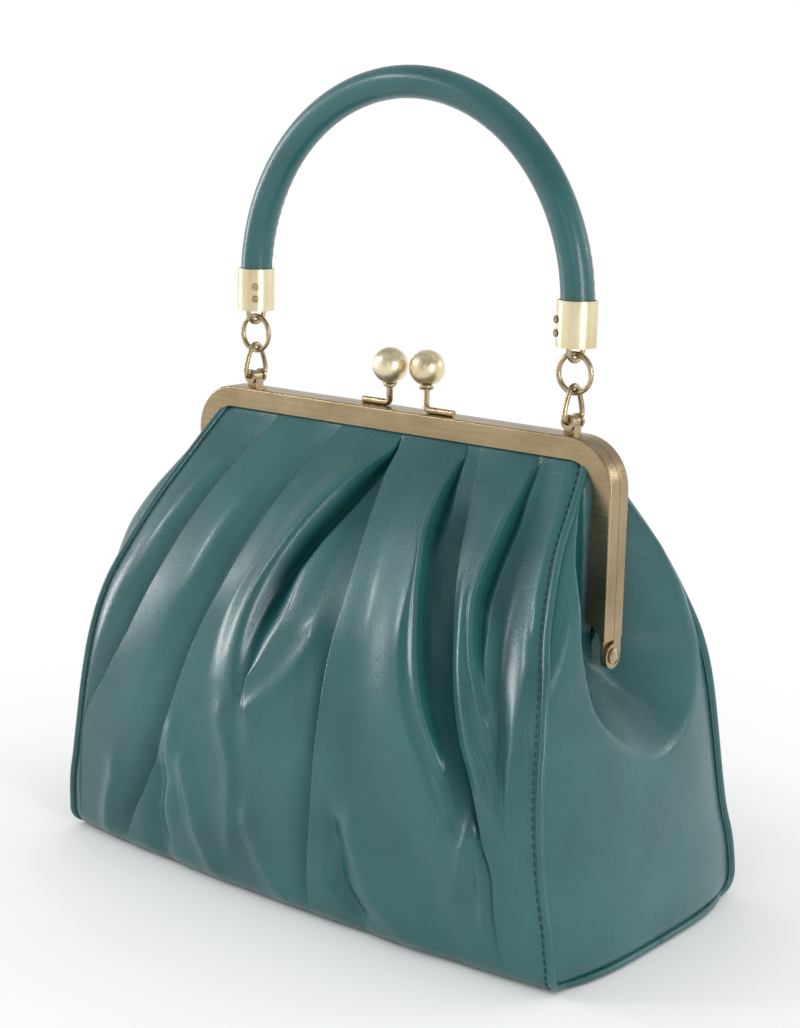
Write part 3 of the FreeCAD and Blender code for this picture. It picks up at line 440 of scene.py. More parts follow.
# %% Fold lines of the front panel
FOLDS = {
    "side_swell": (
        (0, -114, 0), (20, -113, 0.4), (45, -111.5, 0.7), (70, -107, 0.9), (90, -101, 1.3),
        (110, -95, 1.6), (130, -88, 1.6), (150, -80, 1.0), (160, -76, 0.5), (170, -73, 0),
    ),
    "first_step": (
        (0, -112.6, 0, 0), (45, -110.6, -0.2, 0.2), (70, -97, -0.7, 0.8), (90, -86.6, -1.2, 1.1),
        (110, -80, -1.4, 1.3), (130, -74.6, -1.4, 1.2), (150, -67.7, -1.1, 0.9), (160, -63, -0.8, 0.5),
        (172, -57, 0, 0),
    ),
    "first_swell": (
        (0, -98, 0), (20, -94, 0.4), (45, -88, 0.8), (70, -77, 1.2), (90, -69, 2.0), (110, -63, 2.6),
        (130, -58.5, 2.6), (150, -52, 1.7), (160, -47, 0.9), (172, -42, 0),
    ),
    "second_step": (
        (0, -86.4, -0.4, 0.2), (17, -77.3, -1.8, 1.0), (30, -70.1, -1.8, 1.1), (47, -63.1, -1.6, 1.0),
        (65, -57.5, -1.3, 0.8), (90, -50.9, -1.3, 0.6), (110, -45.3, -1.4, 0.6), (130, -40.7, -1.4, 0.6),
        (150, -34.6, -1.1, 0.5), (160, -30.4, -0.7, 0.3), (172, -24, 0, 0),
    ),
    "second_swell": (
        (0, -54, 0), (45, -46, 0.4), (70, -41, 0.6), (90, -40, 0.4), (110, -37.5, 0.4), (130, -32, 0.9),
        (150, -24, 1.0), (160, -17, 0.6), (172, -10, 0),
    ),
    "third_ridge": (
        (0, -24, 0), (45, -25, 0), (62, -24, 0.4), (74, -24.4, 1.6), (82, -26, 2.6), (95, -26.8, 3.4),
        (110, -26.3, 3.7), (130, -20.9, 3.7), (150, -11.4, 3.2), (160, -3.2, 2.3), (168, 4.6, 0.5),
        (172, 5.2, 0),
    ),
    "third_valley": (
        (0, -19, 0), (45, -20, 0), (62, -19.5, 0.5), (74, -20.2, 0.9), (82, -21.4, 0.2),
        (95, -21.4, -1.2), (110, -19.8, -3.0), (130, -14.9, -5.4), (150, -5.4, -5.8), (160, 0.6, -4.6),
        (168, 5.5, -1.8), (172, 5.6, 0),
    ),
    "third_inner": (
        (0, -13, 0), (45, -14, 0.3), (62, -14, 0.8), (74, -17, 1.5), (83, -19.6, 1.0), (90, -15.4, 1.2),
        (98, -11.6, 1.2), (110, -7.8, 1.0), (122, -8.6, 0.8), (130, -6.4, 0.3), (150, 0.8, -2.0),
        (160, 4.4, -2.2), (168, 6, -0.7), (172, 5.9, 0),
    ),
    "third_slack": (
        (0, 6, 0), (45, 5, 0), (70, 5, 0.2), (90, 4, 0.2), (110, 4, -0.4), (130, 3.6, -0.9),
        (150, 5.2, -1.9), (160, 5.6, -2.0), (168, 6.2, -0.7), (172, 6.05, 0),
    ),
    "third_step": (
        (0, 16.1, -0.4, 0.3), (15, 15.8, -1.0, 0.7), (37, 16.7, -1.2, 0.9), (55, 17.2, -1.2, 0.9),
        (77, 17.4, -1.2, 1.0), (97, 16.4, -1.2, 1.1), (118, 14.7, -1.2, 1.0), (130, 12.8, -1.3, 0.9),
        (150, 8.6, -1.6, 0.6), (160, 6.4, -1.8, 0.3), (168, 6.5, -0.6, 0.1), (172, 6.2, 0, 0),
    ),
    "third_swell": (
        (0, 42, 0), (45, 38, 0.2), (70, 36, 0.2), (90, 32, 0.2), (110, 28, 0.3), (130, 23, 0.5),
        (150, 19, 0.6), (160, 19, 0.4), (172, 20.5, 0),
    ),
    "fourth_swell": (
        (0, 90, 0), (30, 87, 0), (42, 83, 0.4), (52, 77.4, 1.6), (58, 72.6, 2.2), (65, 67.5, 2.6),
        (75, 61.9, 3.0), (83, 56.8, 3.1), (92, 52.2, 3.1), (110, 45, 2.9), (130, 40, 2.4),
        (150, 33.6, 2.3), (160, 33.4, 1.3), (168, 34.6, 0.3), (172, 35.2, 0),
    ),
    "fourth_dip": (
        (0, 91, 0), (30, 88.4, 0), (42, 85, 0.3), (52, 79.4, 1.0), (58, 75, 0.9), (65, 71, 0.6),
        (75, 65.6, 0.7), (83, 60.6, 1.2), (92, 55.8, 1.6), (110, 48.4, 1.9), (130, 41, 2.2),
        (150, 34.4, 2.4), (160, 33.9, 1.4), (168, 34.9, 0.35), (172, 35.4, 0),
    ),
    "fourth_ridge": (
        (0, 92, 0), (30, 90, 0), (42, 86.6, 0.2), (52, 81, 0.6), (58, 77.2, 0), (65, 73.6, -0.6),
        (75, 69.3, 0.8), (83, 64.4, 1.9), (92, 59.4, 2.4), (110, 51.2, 2.8), (130, 42, 2.8),
        (150, 35.1, 2.7), (160, 34.4, 1.6), (168, 35.2, 0.4), (172, 35.6, 0),
    ),
    "fourth_valley": (
        (0, 95, 0), (30, 91.6, 0), (42, 88.2, 0.1), (52, 83, 0.3), (58, 79.6, -0.7), (65, 76.5, -1.6),
        (75, 72.2, -2.1), (83, 67.3, -2.3), (92, 62.3, -2.2), (110, 54, -2), (130, 44.8, -1.9),
        (150, 37.8, -2.8), (160, 36.7, -2.4), (168, 37.1, -1.1), (172, 37.3, 0),
    ),
    "fourth_bank": (
        (0, 98, 0), (30, 94.4, -0.2), (42, 92.2, -0.4), (52, 88.4, -0.9), (65, 83, -2.3),
        (75, 78.6, -2.6), (90, 72, -2.7), (110, 63.4, -2.5), (130, 51, -2.5), (150, 43.5, -1.8),
        (160, 40, -0.7), (168, 38.4, 0), (172, 38, 0),
    ),
    "fourth_step": (
        (0, 102, 0, 0), (27, 97.2, -0.8, 0.4), (37, 96.3, -0.9, 0.6), (45, 93.8, -1.4, 0.5),
        (54, 90.1, -2.2, 0.2), (62, 87.2, -2.9, -0.1), (72, 82.9, -2.9, -0.1), (81, 78.1, -2.9, -0.1),
        (97, 71.7, -2.8, -0.2), (113, 65.4, -2.7, -0.4), (130, 57.4, -2.4, -0.8), (150, 49.6, -1.9, -0.9),
        (160, 46.1, -0.8, -0.4), (172, 42.9, 0, 0),
    ),
    "fifth_swell": (
        (0, 106, 0), (40, 102, 0), (52, 99.2, 0.4), (59, 96.4, 1.3), (64, 93.1, 1.8), (70, 89.4, 2.1),
        (77, 85.8, 2.3), (84, 82.3, 2.4), (93, 78.4, 2.5), (113, 70.2, 2.4), (130, 64.2, 1.9),
        (150, 62.5, 1.4), (160, 62.2, 0.6), (172, 63, 0),
    ),
    "fifth_dip": (
        (0, 107, 0), (40, 102.6, 0), (52, 99.7, 0.5), (59, 97.2, 1.2), (66, 94, 1.0), (76, 89, 0.4),
        (84, 85.4, 0.5), (91, 82.6, 0.8), (99, 79, 1.1), (113, 72.2, 1.5), (130, 66.4, 1.9),
        (150, 65.8, 2.1), (160, 65.6, 0.9), (172, 66.2, 0),
    ),
    "fifth_ridge": (
        (0, 108, 0), (40, 103.2, 0), (52, 100.2, 0.5), (59, 98, 1.1), (66, 95.4, 0.5), (76, 91.4, -0.3),
        (84, 88.8, 0.5), (91, 86, 1.4), (99, 81.8, 2.0), (106, 77.4, 2.3), (113, 74, 2.6),
        (130, 68.3, 2.8), (150, 67.4, 2.6), (160, 66.9, 1.2), (172, 66.8, 0),
    ),
    "fifth_valley": (
        (0, 109.4, 0), (40, 104.2, 0), (52, 101.1, 0.5), (59, 99.2, 1), (66, 96.6, 0.2), (76, 92.8, -0.8),
        (84, 90.4, -0.2), (91, 87.8, 0.4), (99, 84.5, 0.4), (106, 80.9, -0.6), (113, 77.3, -1.6),
        (122, 73.5, -1.9), (130, 71.1, -2.5), (150, 70.1, -2.5), (160, 69.1, -1.7), (168, 68.6, -1.2),
        (172, 68.4, 0),
    ),
    "fifth_bank": (
        (0, 110, 0), (40, 104.4, 0), (52, 101.2, 0.5), (59, 99.4, 0.9), (66, 97, 0), (76, 93.6, -1.1),
        (84, 91.4, -0.9), (91, 89.2, -0.3), (99, 86.2, 0.4), (106, 83, 0.5), (113, 80.8, -0.1),
        (122, 78, -1.2), (130, 75.6, -1.8), (150, 74, -1.3), (160, 72, -0.5), (172, 70.5, 0),
    ),
    "fifth_trough": (
        (0, 111, 0), (40, 105, 0), (52, 102, 0.5), (59, 100, 0.8), (66, 97.8, 0.1), (72, 96, -0.9),
        (84, 93.6, -1.5), (104, 89, -1.5), (113, 86.4, -1.8), (130, 82, -1.9), (150, 78, -1.5),
        (172, 74, 0),
    ),
    "seam_swell": (
        (0, 112, 0), (45, 105.6, 0.4), (58, 101.2, 1), (65, 100, 1.3), (72, 100.2, 1.7), (82, 100.5, 2),
        (92, 100.5, 2.2), (98, 100.6, 2.1), (108, 100.6, 1.6), (118, 98, 0.6), (130, 93, -0.3),
        (150, 86, -0.6), (172, 78, 0),
    ),
    "seam_dip": (
        (0, 113, 0), (45, 108, 0.2), (58, 105.4, 0.4), (72, 104.4, 0.4), (82, 103.6, 0.6),
        (92, 102.4, 1.4), (108, 102.6, 1.0), (130, 95.4, 0.4), (150, 89, 0.1), (172, 81, 0),
    ),
    "seam_fold": (
        (0, 114.5, 0), (45, 110.6, 0.4), (58, 109.4, 0.8), (72, 108.4, 1.3), (82, 107, 1.6),
        (92, 104.4, 1.8), (108, 104, 0.9), (130, 97.4, 0.3), (150, 91, 0), (172, 83, 0),
    ),
}
BROWS = {"third_ridge": (1.8, 0.5), "fourth_ridge": (1.4, 0.4), "fifth_ridge": (1.4, 0.4)}
BROW_RISE = 1.5
STEP_WIDTH = 0.4


def fold_lines(name, rows):
    """The lines of a fold: a step has a foot and an edge, a ridge a brow that rounds its crest."""
    table = np.array(rows, float)
    line = table[:, :3]
    if name.endswith("_step"):
        return [line, table[:, [0, 1, 3]] + np.array([0.0, STEP_WIDTH, 0.0])]
    if name in BROWS:
        out, drop = BROWS[name]
        share = np.clip(line[:, 2] / BROW_RISE, 0.0, 1.0)[:, None]
        return [line, line + share * np.array([0.0, out, -drop])]
    return [line]


FOLD_TABLES = [line for name, rows in FOLDS.items() for line in fold_lines(name, rows)]
print("folds:", len(FOLDS), "lines:", len(FOLD_TABLES))

# %% [markdown]
# Soft diagonal folds, most of them near the base, are separate: each is a short line through
# three points, as across and height, with a width and a rise. Past its ends a fold fades out.

# %% Soft folds
SOFT_FOLDS = (
    ((26.0, 36.0), (30.0, 20.0), (40.0, 8.0), 4.5, -4.3),
    ((37.0, 40.0), (47.7, 19.0), (61.0, 6.0), 6.0, 2.7),
    ((24.0, 20.0), (33.5, 10.0), (48.0, 4.0), 1.8, 1.4),
    ((62.0, 40.0), (70.0, 24.0), (80.0, 6.0), 5.0, -2.2),
    ((86.4, 51.0), (84.0, 42.0), (83.0, 32.0), 2.6, 2.2),
    ((91.5, 43.0), (92.6, 36.0), (94.0, 27.0), 3.0, 1.8),
    ((-60.4, 36.0), (-64.4, 20.4), (-61.4, 5.0), 4.5, -3.8),
    ((-55.0, 52.0), (-57.5, 38.0), (-56.0, 28.0), 4.0, 2.2),
    ((-47.5, 44.0), (-40.0, 22.0), (-33.0, 8.0), 4.5, 2.6),
    ((-29.0, 66.0), (-22.8, 45.0), (-23.2, 26.0), 4.5, 1.9),
    ((-13.5, 30.0), (-6.0, 17.0), (2.0, 6.0), 4.0, 2.0),
    ((-89.0, 30.0), (-94.0, 15.0), (-96.0, 6.0), 4.0, 1.6),
    ((6.0, 100.0), (-0.5, 88.0), (-15.0, 74.0), 4.5, 1.5),
    ((11.8, 94.0), (13.8, 82.0), (14.0, 66.0), 3.6, 1.1),
)
FOLD_FADE = 9.0


def bell(away, width):
    """1 at no distance, falling off smoothly over a width."""
    return np.exp(-(away / width) ** 2)


def soft_rise(across, height):
    """Rise of the soft folds along one row, in millimetres."""
    total = np.zeros(len(across))
    for top, middle, low, width, rise in SOFT_FOLDS:
        heights = (low[1], middle[1], top[1])
        line = float(smooth(height, heights, (low[0], middle[0], top[0])))
        beyond = max(height - top[1], low[1] - height, 0.0)
        total += rise * bell(beyond, FOLD_FADE) * bell(across - line, width)
    return total


print("soft folds:", len(SOFT_FOLDS))

# %% [markdown]
# The plain panel under the folds bows outwards, most of all near the base, where the purse's
# load pushes it.

# %% Plain panel
CROWN_HEIGHTS = (0.0, 40.0, 90.0, 140.0, 168.0, 178.0)
CROWN_RISES = (6.4, 6.0, 4.4, 2.2, 0.4, 0.0)
CROWN_POWER = 2.4
NUDGE = 0.5


def plain_panel(across, height):
    """Depth of the panel without its folds along one row, in millimetres from the parting plane."""
    wide, deep = seam(height)
    crown = float(smooth(height, CROWN_HEIGHTS, CROWN_RISES))
    share = np.minimum(1.0, np.abs(across) / wide)
    return deep + crown * (1 - share ** CROWN_POWER)


def plain_normal(across, height):
    """Outward directions of the plain panel along one row, as (across, forward, up)."""
    if height < BASE_ROUND:
        drop = (BASE_ROUND - height) / BASE_ROUND
        return np.tile([0.0, math.sqrt(max(0.0, 1 - drop * drop)), -drop], (len(across), 1))
    rate_up = (plain_panel(across, height + NUDGE) - plain_panel(across, height - NUDGE)) / (2 * NUDGE)
    rate_across = (plain_panel(across + NUDGE, height) - plain_panel(across - NUDGE, height)) / (2 * NUDGE)
    normal = np.column_stack([-rate_across, np.ones(len(across)), -rate_up])
    return normal / np.linalg.norm(normal, axis=1)[:, None]


print("depth of the panel's middle at the base:", plain_panel(np.zeros(1), BASE_ROUND).round(1))

# %% [markdown]
# The folds are added along the plain panel's outward direction. Close to a seam and to the base
# they calm down. At each side the leather dips into the seam and into its line of stitches. A
# fourth number for each point says how deep it lies in a fold, for the material's painted shade.

# %% Panel surface
COLUMN_COUNTS = (8, 10, 4, 14, 14, 4, 14, 14, 6, 12, 10, 8, 10, 4, 10, 12, 8,
                 8, 6, 10, 12, 8, 4, 8, 6, 8, 6, 10, 10, 8, 10, 8, 8, 6)
LINE_GAP = 0.3
CALM_INSET = 5.0
CALM_FOOT, CALM_HEIGHT = 3.0, 11.0
FOLD_SHADE_DEPTH = 2.6
SEAM_DIP, SEAM_DIP_WIDTH = 1.3, 1.8
STITCH_INSET, STITCH_DIP, STITCH_DIP_WIDTH = 3.0, 0.4, 1.2
REAR_STRENGTH = 0.85


def column_places():
    """Place of each column among the fold lines: 2.5 is halfway between line 2 and line 3."""
    places = []
    for index, count in enumerate(COLUMN_COUNTS):
        step = np.arange(count) / count
        places += list(index + 0.5 * (1 - np.cos(math.pi * step)))
    return np.array(places + [float(len(COLUMN_COUNTS))])


def fold_row(height, wide):
    """Where each fold line crosses a row, in order and a small gap apart, and its rise."""
    lines = [smooth(height, table[:, 0], table[:, 1]) for table in FOLD_TABLES]
    rises = [smooth(height, table[:, 0], table[:, 2]) for table in FOLD_TABLES]
    lines = np.clip(np.array([-wide] + lines + [wide], float), -wide, wide)
    gaps = LINE_GAP * np.arange(len(lines))
    lines = np.maximum.accumulate(lines - gaps) + gaps
    lines *= np.where(lines > 0, wide / lines[-1], 1.0)
    return lines, np.array([0.0] + rises + [0.0], float)


def panel_row(height, mirror, strength):
    """Points across one row of a panel: across, depth and height in millimetres, and the hollow, which sets
    the painted shade.
    """
    wide = seam(height)[0]
    lines, rises = fold_row(height, wide)
    index = np.arange(len(lines))
    places = column_places()
    across = np.interp(places, index, lines)
    rise = smooth(places, index, rises)
    inset = wide - np.abs(across)
    calm = (1 - bell(inset, CALM_INSET)) * (1 - bell(height + CALM_FOOT, CALM_HEIGHT))
    lift = strength * (rise + soft_rise(across, height)) * calm
    # How deep a point lies in a fold, which the leather material turns into painted shade.
    hollow = np.clip(-strength * rise * calm / FOLD_SHADE_DEPTH, 0.0, 1.0)
    lift -= SEAM_DIP * bell(inset, SEAM_DIP_WIDTH)
    lift -= STITCH_DIP * bell(inset - STITCH_INSET, STITCH_DIP_WIDTH)
    points = np.column_stack([across, plain_panel(across, height), np.full(len(across), height), hollow])
    points[:, :3] += plain_normal(across, height) * lift[:, None]
    points[:, 0] *= mirror
    points[:, 2] = np.maximum(points[:, 2], 0.0)
    return points


def panel_grid(mirror, strength):
    """A panel's points and how deep each lies in a fold, for the painted shade."""
    rows = np.array([panel_row(float(height), mirror, strength) for height in ROWS])
    return rows[..., :3], rows[..., 3]


front_grid, front_fold_shade = panel_grid(mirror=1, strength=1.0)
rear_grid, rear_fold_shade = panel_grid(mirror=-1, strength=REAR_STRENGTH)
print("panel grid:", front_grid.shape)

# %% [markdown]
# A grid of points becomes a mesh with one quad between four neighbours. The faces are turned
# so that they point outwards, and a Solidify modifier gives the leather its thickness inwards.
# Its inner side takes the second material, the lining fabric.

# %% Grid to leather
LEATHER = 1.5 * MM


def new_mesh(name, points, edges=(), faces=()):
    mesh = bpy.data.meshes.new(name)
    mesh.from_pydata(points, edges, faces)
    mesh.update()
    return mesh


def grid_mesh(name, grid, outward):
    """A mesh of quads from rows of points in metres, facing the way that outward points."""
    rows, columns = grid.shape[:2]
    faces = []
    for r in range(rows - 1):
        for c in range(columns - 1):
            a = r * columns + c
            faces.append((a, a + 1, a + columns + 1, a + columns))
    mesh = new_mesh(name, grid.reshape(-1, 3).tolist(), faces=faces)
    facing = sum((face.normal * face.area for face in mesh.polygons), Vector())
    if facing.dot(Vector(outward)) < 0:
        mesh.flip_normals()
    mesh.polygons.foreach_set("use_smooth", [True] * len(mesh.polygons))
    uses = np.zeros(len(mesh.edges), int)
    np.add.at(uses, [loop.edge_index for loop in mesh.loops], 1)
    mesh.attributes.new("sharp_edge", "BOOLEAN", "EDGE").data.foreach_set("value", uses == 1)
    return mesh


def new_piece(name, mesh, *materials):
    """An object of the part with its materials."""
    item = new_object(name, mesh)
    for material in materials:
        item.data.materials.append(material)
    return item


def leather_piece(name, grid, outward, hollow):
    """A sheet of leather with its thickness, lined on the inner side."""
    item = new_piece(name, grid_mesh(name, grid, outward), body_leather, lining_fabric)
    # The hollow attribute says where the material paints shade, in the folds and the dish.
    item.data.attributes.new("hollow", "FLOAT", "POINT").data.foreach_set("value", hollow.ravel())
    wall = item.modifiers.new("wall", "SOLIDIFY")
    wall.thickness = LEATHER
    wall.offset = -1.0
    wall.material_offset = 1
    wall.material_offset_rim = 0
    return item


# %% [markdown]
# The front and the rear share their outline, but not quite their stance. The rear hangs a
# little slack, so it stands less far out. On the front the last pleat draws the right seam in
# above the hinge. One function gives both, so that gussets, piping and stitches follow.

# %% Panels in place
SLACK_HEIGHTS = (12.0, 25.0, 40.0, 75.0, 100.0, 125.0, 150.0)
REAR_SLACK = (1.0, 0.97, 0.935, 0.92, 0.925, 0.96, 1.0)
DRAW_HEIGHTS = (85.0, 105.0, 120.0, 140.0, 155.0, 170.0)
RIGHT_DRAW = (0.0, 1.5, 3.4, 4.0, 2.6, 0.0)
DRAW_FROM, DRAW_OVER = 50.0, 45.0
DRAW_POWER = 1.5
HALVES = {"front": -1, "rear": 1}
SIDES = {"left": -1, "right": 1}


def in_frame(grid, sign):
    """Across, depth and height in millimetres to a place in metres; sign -1 is the front."""
    across, depth, height = (grid[..., k] for k in range(3))
    if sign > 0:
        depth = depth * smooth(height, SLACK_HEIGHTS, REAR_SLACK)
    else:
        near = np.clip((across - DRAW_FROM) / DRAW_OVER, 0.0, 1.0) ** 2
        near = near * np.clip(depth / smooth(height, SEAM_HEIGHTS, SEAM_DEPTHS), 0.0, 1.0) ** DRAW_POWER
        across = across - near * smooth(height, DRAW_HEIGHTS, RIGHT_DRAW)
    return np.stack([across, sign * depth, height], axis=-1) * MM


front_placed = in_frame(front_grid, HALVES["front"])
front_panel = leather_piece("front_panel_leather", front_placed, (0, -1, 0), front_fold_shade)
rear_placed = in_frame(rear_grid, HALVES["rear"])
rear_panel = leather_piece("rear_panel_leather", rear_placed, (0, 1, 0), rear_fold_shade)
print("panel faces:", len(front_panel.data.polygons), len(rear_panel.data.polygons))

# %% [markdown]
# ## Gussets
# Each side panel is dished round the hinge: from the seam it swells to a ridge, then dives in
# behind the frame's leg. Below the hinge the two sides of the dish run together into a U. Near
# the frame a row is a smooth curve through six points: the seam, three points from tables and
# two between them. Front and rear rows meet on the middle plane below the hinge, so that each
# half can follow its own half of the frame.

# %% Gusset tables
TABLE_HEIGHTS = (94, 100, 106, 114, 125, 133, 140, 150, 160, 170, 178)
END_LINE = ((95.0, 91.5, 89.8, 93, 93.4, 93.8, 94, 94, 94, 93, 92),
            (0, 0, 0.4, 2.9, 2.9, 2.9, 2.9, 2.9, 2.9, 2.9, 2.9))
TUCK_LINES = {
    "front": ((95.6, 91.8, 89.6, 89.4, 89.5, 89.6, 89.6, 89.4, 89.2, 88.4, 87.6),
              (6, 8, 8.6, 8.0, 7.8, 7.6, 7.4, 7.0, 6.4, 5.2, 4.0)),
    "rear": ((96.0, 92.6, 90.0, 89.6, 89.6, 89.6, 89.6, 89.4, 89.2, 88.4, 87.6),
             (12, 11.5, 10.5, 9.0, 8.6, 8.3, 8.0, 7.3, 6.6, 5.2, 4.0)),
}
RIDGE_LINES = {
    "front": ((112.6, 112.5, 112.4, 111.5, 108.5, 105.2, 101.8, 96.8, 92.2, 89.4, 87.8),
              (28, 30.5, 32.2, 33.0, 30.5, 27.4, 24.2, 17.8, 11.0, 5.8, 4.2)),
    "rear": ((112.0, 111.6, 111.2, 110.4, 108.4, 106.4, 104.4, 99.8, 94.4, 89.8, 87.8),
             (42, 43, 41.5, 37.6, 31.0, 26.4, 22.6, 16.4, 10.4, 5.8, 4.2)),
}
CURVE_STEPS = 24


def through(points, beyond, count):
    """Evenly spaced points on a smooth curve through some points, aimed at one beyond the last."""
    padded = [2 * points[0] - points[1]] + list(points) + [beyond]
    fine = []
    for a, b, c, d in zip(padded, padded[1:], padded[2:], padded[3:]):
        for share in np.linspace(0, 1, CURVE_STEPS, endpoint=False):
            fine.append(0.5 * (2 * b + (c - a) * share + (2 * a - 5 * b + 4 * c - d) * share ** 2
                               + (3 * b - a - 3 * c + d) * share ** 3))
    fine.append(points[-1])
    fine = np.array(fine)
    run = np.concatenate([[0], np.cumsum(np.linalg.norm(np.diff(fine, axis=0), axis=1))])
    wanted = np.linspace(0, run[-1], count)
    return np.stack([np.interp(wanted, run, fine[:, k]) for k in range(fine.shape[1])], axis=-1)


def gusset_point(height, line):
    """A point of one of the gusset's lines at a height, as across and depth."""
    return np.array([smooth(height, TABLE_HEIGHTS, column) for column in line], float)


print("gusset ridge at the hinge:", gusset_point(HINGE_HEIGHT, RIDGE_LINES["front"]).round(1))

# %% [markdown]
# The dish itself is three slopes: the steep wall behind the front ridge, the floor that rises
# from the U's bottom and the long wall up to the rear ridge. The soft least of the three is one
# smooth hollow, and the soft greatest of that and nothing rounds its rim. A limit then keeps
# the leather from reaching too far in.

# %% Gusset dish
RIM_HEIGHTS = (66, 84, 100, 117, 133, 150, 162)
FRONT_RIM = (-25.0, -28.0, -31.0, -33.0, -27.4, -18.0, -10.0)
REAR_RIM = 46.0
DISH_BOTTOM = 67.0
DISH_MIDDLE = 11.0
DISH_CURVE = 0.0145
FRONT_SLOPE, REAR_SLOPE, FLOOR_SLOPE = 1.5, 0.52, 0.78
FRONT_ROUND, REAR_ROUND, RIM_ROUND, LIMIT_ROUND = 4.0, 6.0, 1.1, 4.0
DISH_LIMIT = 90.0


def soft_most(first, second, radius):
    return 0.5 * (first + second + np.sqrt((first - second) ** 2 + radius ** 2))


def soft_least(first, second, radius):
    return -soft_most(-first, -second, radius)


def front_rim(height):
    """Depth of the dish's front rim at a height."""
    return float(smooth(height, RIM_HEIGHTS, FRONT_RIM))


def dish(depth, height, swell):
    """How far the gusset is pushed in at some depths (front negative) along one row."""
    front_wall = FRONT_SLOPE * (depth - front_rim(height))
    rear_wall = REAR_SLOPE * (REAR_RIM - depth)
    rise = FLOOR_SLOPE * (height - DISH_BOTTOM - DISH_CURVE * (depth - DISH_MIDDLE) ** 2)
    hollow = soft_least(soft_least(front_wall, rise, FRONT_ROUND), rear_wall, REAR_ROUND)
    return soft_least(soft_most(hollow, 0.0, RIM_ROUND), swell - DISH_LIMIT, LIMIT_ROUND)


print("front rim at the hinge:", round(front_rim(HINGE_HEIGHT), 1))

# %% [markdown]
# A row near the frame follows the table, a row below follows the swell less the dish, and
# between two heights one hands over to the other. The points of a row crowd at the dish's rim,
# where the leather turns most.

# %% Gusset rows
GUSSET_INSET, GUSSET_SINK = 2.0, 0.9
RIDGE_CLEAR, TUCK_CLEAR = 1.0, 0.6
LIP_SHARES = {"front": np.array([0.17, 0.1]), "rear": np.array([0.2, 0.2])}
SHOULDER_SHARE = 0.35
SHOULDER_BUMP = {"front": 3.4, "rear": 2.2}
SHOULDER_DEPTH = 40.0
TABLE_STEPS, FINE_STEPS, GUSSET_STEPS = 120, 400, 56
CROWD, CROWD_WIDTH = 5.0, 5.0
BULGE_HEIGHTS = (0, 9, 20, 50, 70, 90, 110, 180)
BULGE = (6.4, 7.0, 7.4, 7.2, 5.8, 4.6, 3.4, 3.0)
SWELL_POWER = 3.2
TABLE_FROM, TABLE_TO = 84.0, 128.0
GUSSET_FOOT = 2.6
# Where the dish's painted shade begins, and over what depth it grows to full, in millimetres.
DISH_SHADE_START, DISH_SHADE_DEPTH = 2.0, 26.0


def row_depths(deep, end, rim):
    """Depths of a row's points from the seam to the middle, closest together at the dish's rim."""
    fine = np.linspace(deep, end, FINE_STEPS)
    crowd = 1.0 + CROWD * bell(fine - rim, CROWD_WIDTH)
    share = np.concatenate([[0.0], np.cumsum(crowd[1:])])
    return np.interp(np.linspace(0, share[-1], GUSSET_STEPS), share, fine)


def table_row(height, half):
    """A row near the frame through seam, shoulder, ridge, lip, tuck and end, and the ridge's depth."""
    wide, deep = seam(height)
    start = np.array([wide - GUSSET_INSET, deep - GUSSET_SINK])
    ridge = gusset_point(height, RIDGE_LINES[half])
    ridge[1] = min(ridge[1], deep - RIDGE_CLEAR)
    bump = np.array([SHOULDER_BUMP[half] * min(1.0, deep / SHOULDER_DEPTH), 0.0])
    shoulder = start + (ridge - start) * SHOULDER_SHARE + bump
    tuck = gusset_point(height, TUCK_LINES[half])
    tuck[1] = min(tuck[1], ridge[1] - TUCK_CLEAR)
    lip = ridge + (tuck - ridge) * LIP_SHARES[half]
    end = gusset_point(height, END_LINE)
    row = through([start, shoulder, ridge, lip, tuck, end], 2 * end - tuck, TABLE_STEPS)
    row[:, 1] = np.minimum.accumulate(row[:, 1])
    return row, ridge[1]


def gusset_row(height, half):
    """One row of a gusset from the seam to the middle: across, depth and height, and the hollow, which sets
    the painted shade.
    """
    wide, deep = seam(height)
    table, ridge_depth = table_row(height, half)
    rim = abs(front_rim(height)) if half == "front" else ridge_depth
    end = gusset_point(height, END_LINE)[1] if height > TABLE_FROM else 0.0
    depths = row_depths(deep - GUSSET_SINK, end, rim)
    listed = np.interp(depths, table[::-1, 1], table[::-1, 0])
    bulge = float(smooth(height, BULGE_HEIGHTS, BULGE))
    swell = wide - GUSSET_INSET + bulge * (1 - np.minimum(1.0, depths / deep) ** SWELL_POWER)
    dished = swell - dish(HALVES[half] * depths, height, swell)
    share = float(np.clip((height - TABLE_FROM) / (TABLE_TO - TABLE_FROM), 0, 1))
    across = dished + (listed - dished) * share * share * (3 - 2 * share)
    raised = height + GUSSET_FOOT * max(0.0, 1 - height / BASE_ROUND) ** 2
    # How deep a point lies in the dish, which the leather material turns into painted shade.
    hollow = np.clip((swell - across - DISH_SHADE_START) / DISH_SHADE_DEPTH, 0.0, 1.0)
    return np.column_stack([across, depths, np.full(len(depths), raised), hollow])


print("gusset row at the hinge ends at:", gusset_row(HINGE_HEIGHT, "front")[-1, :3].round(1))

# %% [markdown]
# The two gussets are made as four quarters, a front and a rear one on each side, so that each
# bends with its own frame half. The left front lobe stands fuller than the right one.

# %% Gusset quarters
PUFF_HEIGHTS = (95.0, 112.0, 135.0, 152.0, 166.0)
PUFFS = (0.0, 3.6, 4.6, 3.2, 0.0)
PUFF_PLACE_SHARE, PUFF_WIDTH_SHARE = 0.8, 0.17


def gusset_grid(half):
    """A gusset quarter's points and how deep each lies in the dish, for the painted shade."""
    rows = np.array([gusset_row(float(height), half) for height in ROWS])
    return rows[..., :3], rows[..., 3]


def left_puff(grid):
    """How much fuller the left front lobe stands, in millimetres."""
    deep = grid[:, :1, 1]
    lobe = bell(grid[..., 1] / deep - PUFF_PLACE_SHARE, PUFF_WIDTH_SHARE)
    return smooth(grid[..., 2], PUFF_HEIGHTS, PUFFS) * lobe


